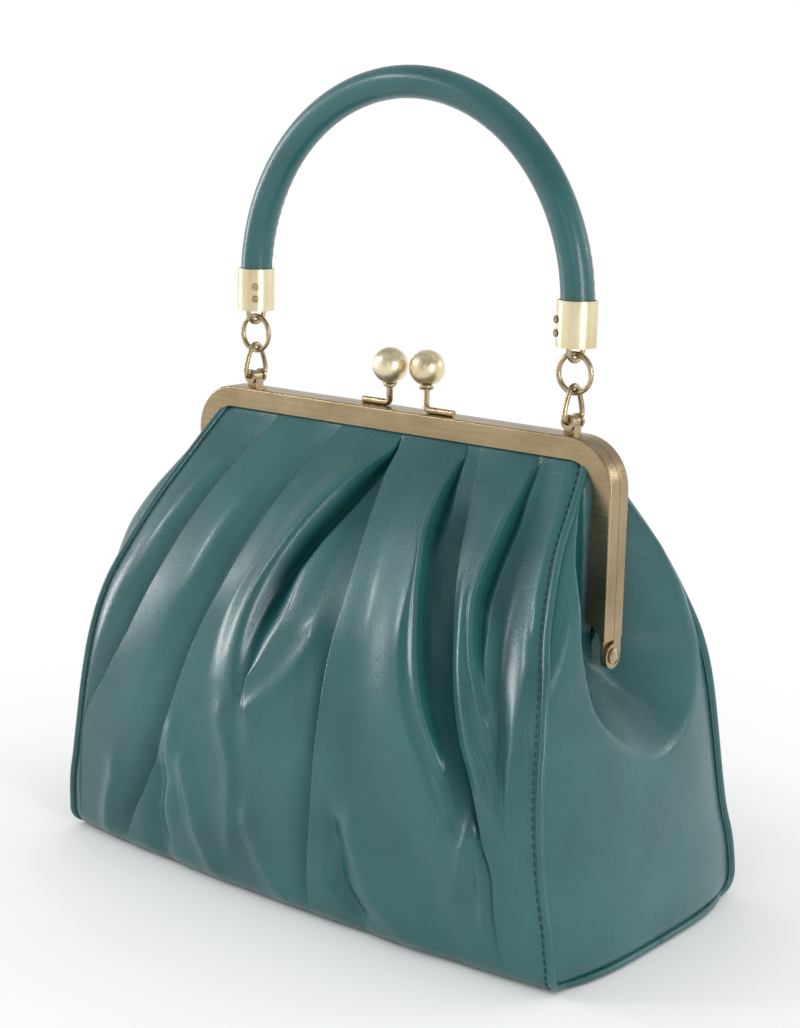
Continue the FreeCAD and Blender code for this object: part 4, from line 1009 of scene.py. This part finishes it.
gussets = {}
for half, depth_sign in HALVES.items():
    grid, hollow = gusset_grid(half)
    for side, hand in SIDES.items():
        placed = grid * np.array([hand, 1, 1])
        if (half, side) == ("front", "left"):
            placed[..., 0] -= left_puff(grid)
        piece = f"{half}_{side}_gusset_leather"
        gussets[half, side] = leather_piece(piece, in_frame(placed, depth_sign), (hand, 0, 0), hollow)
print("gusset quarters:", len(gussets))

# %% [markdown]
# ## Piping
# A thin cord in a leather strip is caught in each seam. It is a tube swept along the seam, down
# from the frame, round the lower corner and along the base to the middle of the gusset.

# %% Tube along a path
def directions(path):
    """Unit directions along a path of points."""
    along = np.gradient(path, axis=0)
    return along / np.linalg.norm(along, axis=1)[:, None]


def tube_grid(path, radius, sides):
    """Rings round a path, each turned as little as possible from the one before."""
    along = directions(path)
    across = np.cross(along[0], (1.0, 0.0, 0.0))
    rings = []
    turn = np.linspace(0, 2 * math.pi, sides, endpoint=False)
    for point, direction in zip(path, along):
        across = across - direction * (across @ direction)
        across /= np.linalg.norm(across)
        other = np.cross(direction, across)
        rings.append(point + radius * (np.cos(turn)[:, None] * across + np.sin(turn)[:, None] * other))
    return np.array(rings)


def tube_mesh(name, rings):
    """A closed tube with flat ends from a stack of rings."""
    count, sides = rings.shape[:2]
    faces = []
    for r in range(count - 1):
        for c in range(sides):
            after = (c + 1) % sides
            faces.append((r * sides + c, r * sides + after, (r + 1) * sides + after, (r + 1) * sides + c))
    faces.append(tuple(reversed(range(sides))))
    faces.append(tuple((count - 1) * sides + c for c in range(sides)))
    mesh = new_mesh(name, rings.reshape(-1, 3).tolist(), faces=faces)
    mesh.polygons.foreach_set("use_smooth", [len(face.vertices) == 4 for face in mesh.polygons])
    return mesh


# %% Piping
PIPING_RADIUS = 1.45
PIPING_SIDES = 12
PIPING_SET = 0.7
PIPING_LIFT = 1.8
PIPING_TUCK = 0.8
PIPING_BOW = 4
PIPING_FOOT_STEPS = 26


def piping_path():
    """The seam's line on the right front, from the frame to the middle of the base."""
    path = []
    for height in reversed(ROWS):
        wide, deep = seam(float(height))
        drop = max(0.0, BASE_ROUND - height) / BASE_ROUND
        lift = PIPING_LIFT * drop ** 2
        path.append((wide - PIPING_SET, deep - PIPING_SET * math.sqrt(1 - drop * drop), height + lift))
    wide, deep, low = path[-1]
    for share in np.linspace(1, 0, PIPING_FOOT_STEPS)[1:]:
        path.append((wide + (BULGE[0] - PIPING_TUCK) * (1 - share ** PIPING_BOW), deep * share, low))
    return np.array(path)


piping = {}
for half, depth_sign in HALVES.items():
    for side, hand in SIDES.items():
        path = in_frame(piping_path() * np.array([hand, 1, 1]), depth_sign)
        mesh = tube_mesh(f"{half}_{side}_piping", tube_grid(path, PIPING_RADIUS * MM, PIPING_SIDES))
        piping[half, side] = new_piece(f"{half}_{side}_piping_leather", mesh, body_leather)
print("piping runs:", len(piping))

# %% [markdown]
# ## Stitches
# Stitches repeat along a path, which is what Geometry Nodes are for. The tree takes a path of
# points, resamples it at the stitch pitch and puts one short thread on each point, turned along
# the path. Realize Instances and Set Material make the result a plain mesh. A few helpers serve
# the screws' tree as well: they make the named inputs, set copies on points, lead the result
# out, and run a tree on a piece to keep its mesh.

# %% Geometry Nodes helpers
def new_tree(name, points, sizes, finish):
    """A tree with named inputs, the inputs' identifiers and the sockets that carry them."""
    tree = bpy.data.node_groups.new(name, "GeometryNodeTree")
    kinds = [(points, "Geometry"), *((size, "Float") for size in sizes), (finish, "Material")]
    ports = {}
    for port, kind in kinds:
        socket = tree.interface.new_socket(port, in_out="INPUT", socket_type="NodeSocket" + kind)
        ports[port] = socket.identifier
    tree.interface.new_socket("Mesh", in_out="OUTPUT", socket_type="NodeSocketGeometry")
    return tree, ports, tree.nodes.new("NodeGroupInput").outputs


def finish_tree(tree, mesh, material):
    """Set Material and the way out of a tree."""
    painted = add_node(tree, "GeometryNodeSetMaterial", Geometry=mesh, Material=material)
    add_node(tree, "NodeGroupOutput", Mesh=painted.outputs["Geometry"])


def spread_on(tree, points, shape, facing, **more):
    """Real copies of a shape on points, each with its Z axis turned the way it faces."""
    turn = add_node(tree, "FunctionNodeAlignRotationToVector", {"axis": "Z"}, Vector=facing)
    spread = add_node(tree, "GeometryNodeInstanceOnPoints", Points=points, Instance=shape,
                      Rotation=turn.outputs["Rotation"], **more)
    real = add_node(tree, "GeometryNodeRealizeInstances", Geometry=spread.outputs["Instances"])
    return real.outputs["Geometry"]


def run_tree(item, tree, ports, values):
    """The piece with the mesh that a tree makes of it."""
    modifier = item.modifiers.new(tree.name, "NODES")
    modifier.node_group = tree
    for port, value in values.items():
        modifier[ports[port]] = value
    evaluated = item.evaluated_get(bpy.context.evaluated_depsgraph_get())
    item.data = bpy.data.meshes.new_from_object(evaluated)
    item.modifiers.remove(modifier)
    return item


# %% Stitch tree
STITCH_PITCH = 3.1 * MM
STITCH_LENGTH = 2.2 * MM
STITCH_RADIUS = 0.33 * MM


def stitch_tree():
    tree, ports, given = new_tree("stitch_row", "Path", ("Pitch", "Length", "Radius"), "Thread")
    curve = add_node(tree, "GeometryNodeMeshToCurve", Mesh=given["Path"])
    spaced = add_node(tree, "GeometryNodeResampleCurve", {"mode": "LENGTH"},
                      Curve=curve.outputs["Curve"], Length=given["Pitch"])
    shape = add_node(tree, "GeometryNodeMeshUVSphere", Segments=8, Rings=6, Radius=given["Radius"])
    stretch = calculate(tree, "DIVIDE", given["Length"], given["Radius"])
    scale = add_node(tree, "ShaderNodeCombineXYZ", X=1.0, Y=1.0, Z=calculate(tree, "MULTIPLY", stretch, 0.5))
    along = add_node(tree, "GeometryNodeInputTangent").outputs["Tangent"]
    stitches = spread_on(tree, spaced.outputs["Curve"], shape.outputs["Mesh"], along,
                         Scale=scale.outputs["Vector"])
    rounded = add_node(tree, "GeometryNodeSetShadeSmooth", Geometry=stitches)
    finish_tree(tree, rounded.outputs["Geometry"], given["Thread"])
    return tree, ports


stitch_group, stitch_ports = stitch_tree()


def stitch_row(name, path, pitch=STITCH_PITCH, length=STITCH_LENGTH):
    """A mesh piece of stitches along a path of points in metres."""
    mesh = new_mesh(name + "_path", path.tolist(), edges=[(i, i + 1) for i in range(len(path) - 1)])
    sizes = {"Pitch": pitch, "Length": length, "Radius": STITCH_RADIUS, "Thread": thread}
    return run_tree(new_piece(name, mesh), stitch_group, stitch_ports, sizes)


print("stitch tree nodes:", len(stitch_group.nodes))

# %% [markdown]
# A row of stitches runs down each panel beside its seam, in the dip that was left for it.

# %% Seam stitches
STITCH_FROM, STITCH_TO = 1.0, 171.0
STITCH_LIFT = 0.12


def seam_stitch_path(grid, side):
    """A line on a panel's face, a set distance in from one seam."""
    path = []
    for row, height in zip(grid, ROWS):
        if height < STITCH_FROM or height > STITCH_TO:
            continue
        target = SIDES[side] * (seam(float(height))[0] - STITCH_INSET)
        order = np.argsort(row[:, 0])
        depth, level = (np.interp(target, row[order, 0], row[order, k]) for k in (1, 2))
        path.append((target, depth + STITCH_LIFT, level))
    return np.array(path)


stitches = {}
for half, grid in (("front", front_grid), ("rear", rear_grid)):
    for side in SIDES:
        path = in_frame(seam_stitch_path(grid, side), HALVES[half])
        stitches[half, side] = stitch_row(f"{half}_{side}_seam_stitches", path)
print("stitch rows:", {name: len(item.data.polygons) for name, item in stitches.items()})

# %% [markdown]
# ## Base and lining bag
# The base is a separate leather panel with rounded corners that lies between the panels' turned
# edges. It is a stack of rounded rectangles, a little smaller at the top and the bottom, so that
# its edge is soft.

# %% Base panel
BASE_OVERLAP = 4.0
BASE_MARGIN = 0.4
BASE_CORNER = 10.0
CORNER_SHRINK = 5.0
CORNER_POINTS = 10
BASE_PROFILE = ((6.0, 0.25), (1.2, 0.25), (0.3, 0.5), (0.0, 0.9), (0.3, 1.4), (1.2, 1.6), (6.0, 1.6))


def rounded_loop(half_width, half_depth, corner, height):
    """Points of a level rounded rectangle in metres, anticlockwise, from sizes in millimetres."""
    points = []
    for turn, (sx, sy) in enumerate(((1, 1), (-1, 1), (-1, -1), (1, -1))):
        for angle in np.linspace(0, math.pi / 2, CORNER_POINTS):
            angle += turn * math.pi / 2
            points.append((sx * (half_width - corner) + corner * math.cos(angle),
                           sy * (half_depth - corner) + corner * math.sin(angle), height))
    return np.array(points) * MM


def capped_stack(name, loops):
    """A closed solid from loops stacked on one another."""
    mesh = tube_mesh(name, np.array(loops))
    facing = max(mesh.polygons, key=lambda face: face.center.z)
    if facing.normal.z < 0:
        mesh.flip_normals()
    return mesh


def base_loops():
    wide = BASE_HALF_WIDTH + BASE_MARGIN
    deep = seam(0.0)[1] - BASE_OVERLAP
    return [rounded_loop(wide - inset, deep - inset, BASE_CORNER - min(inset, CORNER_SHRINK), height)
            for inset, height in BASE_PROFILE]


base_piece = new_piece("base_leather", capped_stack("base_leather", base_loops()), body_leather)
print("base faces:", len(base_piece.data.polygons))

# %% [markdown]
# The lining is a bag with soft walls that stand a little in from the leather. It is one closed
# skin: up the outer side, over the rim and down the inner side.

# %% Lining bag
LINING_GAP = 3.2
LINING_CORNER = 12.0
LINING_RISES = (4.6, 4.6, 6.0, 10.0, 20.0, 34.0, 50.0, 64.0, 68.0)
LINING_INSETS = (30.0, 10.0, 4.0, 1.0, 0.0, 0.4, 0.0, 0.2, -0.4)
INNER_SHARES = np.array([0.994, 0.988, 1.0])
INNER_FLOOR, FLOOR_BELOW = 0.7 * MM, 6 * MM


def lining_grid():
    """Rows of the lining bag from the floor to its rim, as closed loops."""
    loops = []
    for rise, inset in zip(LINING_RISES, LINING_INSETS):
        wide, deep = seam(max(rise, BASE_ROUND))
        loop = rounded_loop(wide - LINING_GAP - inset, deep - LINING_GAP - inset, LINING_CORNER, rise)
        loop[:, 1] *= np.where(loop[:, 1] > 0, smooth(rise, SLACK_HEIGHTS, REAR_SLACK), 1.0)
        loops.append(loop)
    return np.array(loops)


def lining_mesh():
    """The bag as a thin closed shell: an outer and an inner skin joined at the rim."""
    outer = lining_grid()
    middle = outer.mean(axis=1, keepdims=True)
    inner = middle + (outer - middle) * INNER_SHARES
    inner[..., 2] += np.where(outer[..., 2] < FLOOR_BELOW, INNER_FLOOR, 0.0)
    return capped_stack("lining_bag", np.concatenate([outer, inner[::-1]]))


lining_piece = new_piece("lining_bag", lining_mesh(), lining_fabric)
print("lining faces:", len(lining_piece.data.polygons))

# %% [markdown]
# ## Handle
# A strip of leather is sewn round a rope core. The seam runs along the rear of the arch and
# turns a little on its way. Two edges meet there, with a row of stitches on each side. The
# cover is a tube whose round section has a groove between two soft lips at the seam.

# %% Handle cover
handle_low, handle_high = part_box("handle_cover")
HANDLE_RADIUS = (handle_high.y - handle_low.y) / 2
HANDLE_REACH = handle_high.x - HANDLE_RADIUS
HANDLE_SIDE = (handle_high.y + handle_low.y) / 2
HANDLE_ARCH = handle_high.z - HANDLE_RADIUS - HANDLE_REACH
HANDLE_ACROSS = np.array([0.0, 1.0, 0.0])
SEAM_TURN = (math.radians(132.0), math.radians(55.0))
ARM_ROWS, ARCH_ROWS, HANDLE_SIDES = 12, 150, 48
COVER_SET = 0.25
LIP_RISE, LIP_PLACE, LIP_WIDTH = 0.22, 1.6, 1.0
GROOVE_DEPTH, GROOVE_WIDTH = 0.55, 0.55


def handle_path():
    """Centre line: up one arm, over the half circle and down the other arm."""
    arm = [(-HANDLE_REACH, HANDLE_SIDE, z) for z in np.linspace(handle_low.z, HANDLE_ARCH, ARM_ROWS)[:-1]]
    arch = [(-HANDLE_REACH * math.cos(a), HANDLE_SIDE, HANDLE_ARCH + HANDLE_REACH * math.sin(a))
            for a in np.linspace(0, math.pi, ARCH_ROWS)]
    other = [(-x, y, z) for x, y, z in reversed(arm)]
    return np.array(arm + arch + other)


HANDLE_PATH = handle_path()
HANDLE_OUTWARD = -np.cross(HANDLE_ACROSS, directions(HANDLE_PATH))
SEAM_ANGLES = np.linspace(*SEAM_TURN, len(HANDLE_PATH))


def handle_ring(point, outward, seam_angle):
    """A round section with the sewn seam as a groove between two soft lips."""
    ring = []
    for turn in np.linspace(0, 2 * math.pi, HANDLE_SIDES, endpoint=False):
        away = (turn - seam_angle + math.pi) % (2 * math.pi) - math.pi
        arc = away * HANDLE_RADIUS / MM
        sewn = LIP_RISE * bell(abs(arc) - LIP_PLACE, LIP_WIDTH) - GROOVE_DEPTH * bell(arc, GROOVE_WIDTH)
        radius = HANDLE_RADIUS - COVER_SET * MM + sewn * MM
        ring.append(point + radius * (math.cos(turn) * outward + math.sin(turn) * HANDLE_ACROSS))
    return ring


handle_rings = np.array([handle_ring(*row) for row in zip(HANDLE_PATH, HANDLE_OUTWARD, SEAM_ANGLES)])
handle_mesh = tube_mesh("handle_leather", handle_rings)
handle_cover = new_piece("handle_leather", handle_mesh, handle_leather_finish)
print("handle faces:", len(handle_mesh.polygons))

# %% [markdown]
# The handle's two rows of stitches run beside its seam and stop short of the ferrules.

# %% Handle stitches
HANDLE_PITCH = 4.2 * MM
HANDLE_STITCH = 2.8 * MM
HANDLE_STITCH_SET = 0.3 * MM
FERRULE_ROWS = 14
SEAM_TO_STITCH = {"outer_handle_stitches": -2.0 * MM, "inner_handle_stitches": 2.0 * MM}


def handle_stitch_path(away):
    """A line along the handle between its ferrules, some way round from its seam."""
    turn = SEAM_ANGLES[:, None] + away / HANDLE_RADIUS
    radius = HANDLE_RADIUS - HANDLE_STITCH_SET
    path = HANDLE_PATH + radius * (np.cos(turn) * HANDLE_OUTWARD + np.sin(turn) * HANDLE_ACROSS)
    return path[FERRULE_ROWS:-FERRULE_ROWS]


handle_stitches = [stitch_row(name, handle_stitch_path(away), HANDLE_PITCH, HANDLE_STITCH)
                   for name, away in SEAM_TO_STITCH.items()]
print("handle stitches:", [len(item.data.polygons) for item in handle_stitches])

# %% [markdown]
# ## Metal pieces that get more shape
# Pressed brass has no knife edges: the frame's edges are what catches the light. A copy of the
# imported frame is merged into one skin, its flat faces are joined, and a Bevel modifier rounds
# every edge that turns sharply.

# %% Softened frame
MERGE_WITHIN = 0.002 * MM
FLAT_ANGLE = math.radians(0.5)
SHARP_ANGLE = math.radians(40)
EDGE_ROUND = 0.3 * MM
EDGE_STEPS = 3


def softened(name, finish):
    """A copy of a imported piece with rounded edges, in the same place."""
    mesh = nodes[name].data.copy()
    for attribute in [a for a in mesh.attributes if a.name == "custom_normal"]:
        mesh.attributes.remove(attribute)
    shape = bmesh.new()
    shape.from_mesh(mesh)
    bmesh.ops.remove_doubles(shape, verts=shape.verts, dist=MERGE_WITHIN)
    bmesh.ops.dissolve_limit(shape, angle_limit=FLAT_ANGLE, verts=shape.verts, edges=shape.edges)
    shape.to_mesh(mesh)
    shape.free()
    mesh.materials.clear()
    mesh.polygons.foreach_set("use_smooth", [True] * len(mesh.polygons))
    item = new_piece(name + "_softened", mesh, finish)
    edges = item.modifiers.new("edges", "BEVEL")
    edges.width = EDGE_ROUND
    edges.segments = EDGE_STEPS
    edges.limit_method = "ANGLE"
    edges.angle_limit = SHARP_ANGLE
    edges.harden_normals = True
    return item


frame_skins = {half: softened(half + "_frame", frame_brass) for half in HALVES}
print("frame skins:", {half: len(item.data.polygons) for half, item in frame_skins.items()})

# %% [markdown]
# The swivel ring is a bent wire, wide at its ends and narrow at the top, where the jump ring
# hangs. A tube along a smooth curve through a few points gives that drop shape.

# %% Swivel rings
RING_OUTLINE = ((2.2, 0.0), (3.7, 0.05), (4.9, 0.6), (5.5, 1.9), (5.5, 3.6), (5.0, 5.8), (4.1, 8.2),
                (3.1, 10.3), (2.1, 11.8), (1.05, 12.6), (0.0, 12.8))
RING_WIRE = 0.98
RING_STEPS, RING_SIDES = 120, 14


def swivel_ring(side):
    """The drop-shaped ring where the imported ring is."""
    low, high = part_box(side + "_swivel_ring")
    centre = (low + high) / 2
    half = [np.array(point) for point in RING_OUTLINE]
    outline = half + [point * (-1, 1) for point in reversed(half[:-1])]
    path = through(outline, 2 * outline[-1] - outline[-2], RING_STEPS)
    foot = low.z / MM + RING_WIRE
    placed = np.column_stack([np.full(len(path), centre.x / MM), centre.y / MM + path[:, 0],
                              foot + path[:, 1]]) * MM
    mesh = tube_mesh(side + "_drop_ring", tube_grid(placed, RING_WIRE * MM, RING_SIDES))
    return new_piece(side + "_drop_ring", mesh, ring_brass)


drop_rings = {side: swivel_ring(side) for side in SIDES}
print("drop rings:", list(drop_rings))

# %% [markdown]
# Two small screws hold the handle in each ferrule. One head with a cross cut into it is made in
# Geometry Nodes by a Boolean, and set on four points that carry the way they face.

# %% Screw tree
HEAD_TAPER = 0.82
SLOT_LIFT = 0.95


def screw_tree():
    tree, ports, given = new_tree("cross_screws", "Seats", ("Head radius", "Head height", "Slot"), "Metal")
    radius, height = given["Head radius"], given["Head height"]
    top = calculate(tree, "MULTIPLY", radius, HEAD_TAPER)
    head = add_node(tree, "GeometryNodeMeshCone", Vertices=28, Radius_Top=top,
                    Radius_Bottom=radius, Depth=height)
    cross = add_node(tree, "GeometryNodeJoinGeometry")
    for first, second in (("X", "Y"), ("Y", "X")):
        sizes = add_node(tree, "ShaderNodeCombineXYZ", **{first: top, second: given["Slot"], "Z": height})
        bar = add_node(tree, "GeometryNodeMeshCube", Size=sizes.outputs["Vector"])
        tree.links.new(bar.outputs["Mesh"], cross.inputs["Geometry"])
    lift = add_node(tree, "ShaderNodeCombineXYZ", Z=calculate(tree, "MULTIPLY", height, SLOT_LIFT))
    raised = add_node(tree, "GeometryNodeTransform", Geometry=cross.outputs["Geometry"],
                      Translation=lift.outputs["Vector"])
    carved = add_node(tree, "GeometryNodeMeshBoolean", {"operation": "DIFFERENCE", "solver": "EXACT"},
                      Self_Intersection=True, Mesh_1=head.outputs["Mesh"], Mesh_2=raised.outputs["Geometry"])
    facing = add_node(tree, "GeometryNodeInputNamedAttribute", {"data_type": "FLOAT_VECTOR"}, Name="facing")
    screws = spread_on(tree, given["Seats"], carved.outputs["Mesh"], facing.outputs["Attribute"])
    finish_tree(tree, screws, given["Metal"])
    return tree, ports


screw_group, screw_ports = screw_tree()
print("screw tree nodes:", len(screw_group.nodes))

# %% [markdown]
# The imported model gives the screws' heights and the ferrules' axes. Each seat is a point on the
# ferrule's face, turned a little from the front.

# %% Ferrule screws
SCREW_TURN = math.radians(40.0)
SCREW_SEAT = 0.2 * MM
SCREW_SIZES = {"Head radius": 1.45 * MM, "Head height": 0.7 * MM, "Slot": 0.36 * MM}


def screw_seats():
    """Where the four screws sit on the ferrules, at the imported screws' heights, and their ways out."""
    rim = SCREW_SIZES["Head radius"]
    seats, ways = [], []
    for side, hand in SIDES.items():
        low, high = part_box(side + "_ferrule_screws")
        cup_low, cup_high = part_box(side + "_ferrule")
        out = Vector((-hand * math.sin(SCREW_TURN), -math.cos(SCREW_TURN), 0.0))
        axis = (cup_low + cup_high) / 2
        reach = (cup_high.x - cup_low.x) / 2 + SCREW_SEAT
        for height in (low.z + rim, high.z - rim):
            seats.append(tuple(Vector((axis.x, axis.y, height)) + out * reach))
            ways += list(out)
    return seats, ways


def ferrule_screws():
    seats, ways = screw_seats()
    mesh = new_mesh("screw_seats", seats)
    mesh.attributes.new("facing", "FLOAT_VECTOR", "POINT").data.foreach_set("vector", ways)
    values = {**SCREW_SIZES, "Metal": ring_brass}
    return run_tree(new_piece("ferrule_screw_heads", mesh), screw_group, screw_ports, values)


screw_heads = ferrule_screws()
print("screw faces:", len(screw_heads.data.polygons))

# %% [markdown]
# ## What each piece moves with
# A piece rides on the body that carries it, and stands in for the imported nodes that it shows
# better. The leather has to bend as the frame opens, so between two heights, one below the hinge
# and one above, it is handed over from the pouch to its frame half.

# %% Riding and hand-over
BLEND_LOW = 68.0 * MM
BLEND_HIGH = 128.0 * MM


def bend_with(item, half):
    """Leather follows the pouch below the hinge and its frame half above it."""
    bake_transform(item, "pouch", half + "_half", start=(0, 0, BLEND_LOW), end=(0, 0, BLEND_HIGH))
    return item


for half, panel in (("front", front_panel), ("rear", rear_panel)):
    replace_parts(bend_with(panel, half), half + "_panel", half + "_panel_upper")
    for side in SIDES:
        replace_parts(bend_with(gussets[half, side], half), side + "_gusset", f"{half}_{side}_gusset_wing")
        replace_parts(bend_with(piping[half, side], half), side + "_piping", f"{half}_{side}_piping_upper")
        bend_with(stitches[half, side], half)
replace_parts(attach(base_piece, "pouch"), "base_panel")
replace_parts(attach(lining_piece, "pouch"), "lining")
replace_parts(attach(handle_cover, "handle"), "handle_cover")
for item in handle_stitches:
    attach(item, "handle")
for half, item in frame_skins.items():
    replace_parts(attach(item, half + "_half"), half + "_frame")
for side, item in drop_rings.items():
    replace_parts(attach(item, side + "_swivel"), side + "_swivel_ring")
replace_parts(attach(screw_heads, "handle"), "left_ferrule_screws", "right_ferrule_screws")
print("pieces handed over at", round(BLEND_LOW, 3), "to", round(BLEND_HIGH, 3), "m")

# %% [markdown]
# ## Floor and light
# The floor is a plain pale sheet. Near the purse it is matte, so that the shadow shows. Further
# off it glows white for the camera and in reflections, so that it runs into the background.

# %% Floor
FLOOR_REACH = 6.0
FLOOR_STOPS = [(0.3, grey(0.88)), (0.7, grey(0.92))]
GLOW_FROM, GLOW_TO = 0.1, 0.38


def floor_material():
    """Matte near the purse, so that its shadow stays, and plain white further off."""
    material, tree, shader = new_material("pale_floor", Roughness=0.7)
    place = place_on_piece(tree)
    soft = noise(tree, place, scale=3.0, detail=2.0)
    link(tree, ramp(tree, soft, FLOOR_STOPS), shader, "Base Color")
    glow = add_node(tree, "ShaderNodeEmission", Strength=1.0)
    path = add_node(tree, "ShaderNodeLightPath").outputs
    seen = calculate(tree, "MAXIMUM", path["Is Camera Ray"], path["Is Glossy Ray"])
    distance = add_node(tree, "ShaderNodeVectorMath", {"operation": "LENGTH"}, Vector=place)
    far = add_node(tree, "ShaderNodeMapRange", {"interpolation_type": "SMOOTHSTEP"},
                   Value=distance.outputs["Value"], From_Min=GLOW_FROM, From_Max=GLOW_TO)
    share = calculate(tree, "MULTIPLY", seen, far.outputs["Result"])
    mixed = add_node(tree, "ShaderNodeMixShader", Fac=share)
    for source, socket in zip((shader, glow), mixed.inputs[1:]):
        tree.links.new(source.outputs[0], socket)
    link(tree, mixed.outputs[0], tree.nodes["Material Output"], "Surface")
    return material


FLOOR_ENDS = (-FLOOR_REACH, FLOOR_REACH)
floor_mesh = grid_mesh("floor", np.array([[(x, y, 0.0) for x in FLOOR_ENDS] for y in FLOOR_ENDS]), (0, 0, 1))
floor = new_piece("floor", floor_mesh, floor_material())
print("floor:", FLOOR_REACH, "m each way")

# %% [markdown]
# Six area lamps light the purse: a small one gives the crisp highlights, tall ones at each side
# give the long ones, and wide ones fill in.

# %% Lamps
LAMPS = (
    ("key", (-1.4, -1.2, 1.3), (0.0, 0.0, 0.12), (0.24, 0.24), 6.0),
    ("left", (-2.0, -0.62, 0.4), (0.0, 0.0, 0.1), (0.35, 0.9), 12.0),
    ("right", (1.85, -0.62, 0.42), (0.1, 0.0, 0.1), (0.3, 1.0), 14.0),
    ("edge", (1.25, 1.45, 0.72), (0.1, 0.0, 0.1), (0.16, 0.5), 2.6),
    ("top", (0.4, 0.3, 2.0), (0.0, 0.0, 0.1), (1.0, 1.0), 1.0),
    ("front", (1.0, -1.9, 0.8), (0.0, 0.0, 0.12), (0.9, 0.9), 3.0),
)
for name, spot, target, sizes, power in LAMPS:
    lamp = new_object(name, bpy.data.lights.new(name, "AREA"))
    lamp.data.shape = "RECTANGLE"
    lamp.data.size, lamp.data.size_y = sizes
    lamp.data.energy = power
    lamp.location = spot
    lamp.rotation_euler = (Vector(target) - Vector(spot)).to_track_quat("-Z", "Y").to_euler()
print("lamps:", len(LAMPS))

# %% [markdown]
# The world is white where the camera sees it. Light Path tells the other rays apart:
# reflections see a room that is dimmer on one side and at the ceiling, which gives brass and
# leather their darks, and all other rays get an even fill.

# %% World
DIM_SIDE = (0.66, -0.74, -0.15)
DIM_FROM, DIM_TO, DIM_LEVEL = 0.35, 0.85, 0.28
CEILING_FROM, CEILING_TO, CEILING_LEVEL = 0.2, 0.6, 0.55
FILL_LEVEL = 0.9


def falling_off(tree, value, start, stop, level):
    """1 up to the start, a level from the stop on, smooth between."""
    node = add_node(tree, "ShaderNodeMapRange", {"interpolation_type": "SMOOTHSTEP"},
                    Value=value, From_Min=start, From_Max=stop, To_Min=1.0, To_Max=level)
    return node.outputs["Result"]


def white_world():
    """White for the camera, a dimmer room in reflections and a fill for the rest."""
    world = bpy.data.worlds.new("studio")
    world.use_nodes = True
    bpy.context.scene.world = world
    tree = world.node_tree
    path = add_node(tree, "ShaderNodeLightPath").outputs
    place = add_node(tree, "ShaderNodeTexCoord").outputs["Generated"]
    facing = add_node(tree, "ShaderNodeVectorMath", {"operation": "DOT_PRODUCT"})
    for socket, value in zip(facing.inputs, (place, DIM_SIDE)):
        fill_input(tree, socket, value)
    height = add_node(tree, "ShaderNodeSeparateXYZ", Vector=place).outputs["Z"]
    dim = falling_off(tree, facing.outputs["Value"], DIM_FROM, DIM_TO, DIM_LEVEL)
    ceiling = falling_off(tree, height, CEILING_FROM, CEILING_TO, CEILING_LEVEL)
    mirrored = calculate(tree, "MULTIPLY", path["Is Glossy Ray"], calculate(tree, "MULTIPLY", dim, ceiling))
    fill = calculate(tree, "MULTIPLY", calculate(tree, "SUBTRACT", 1.0, path["Is Glossy Ray"]), FILL_LEVEL)
    seen = calculate(tree, "MAXIMUM", path["Is Camera Ray"], path["Is Transmission Ray"])
    strength = calculate(tree, "MAXIMUM", seen, calculate(tree, "ADD", mirrored, fill))
    fill_inputs(tree, tree.nodes["Background"], {"Strength": strength, "Color": (1.0, 1.0, 1.0, 1.0)})


white_world()
bpy.context.scene.view_settings.view_transform = "Standard"
print("world:", bpy.context.scene.world.name)
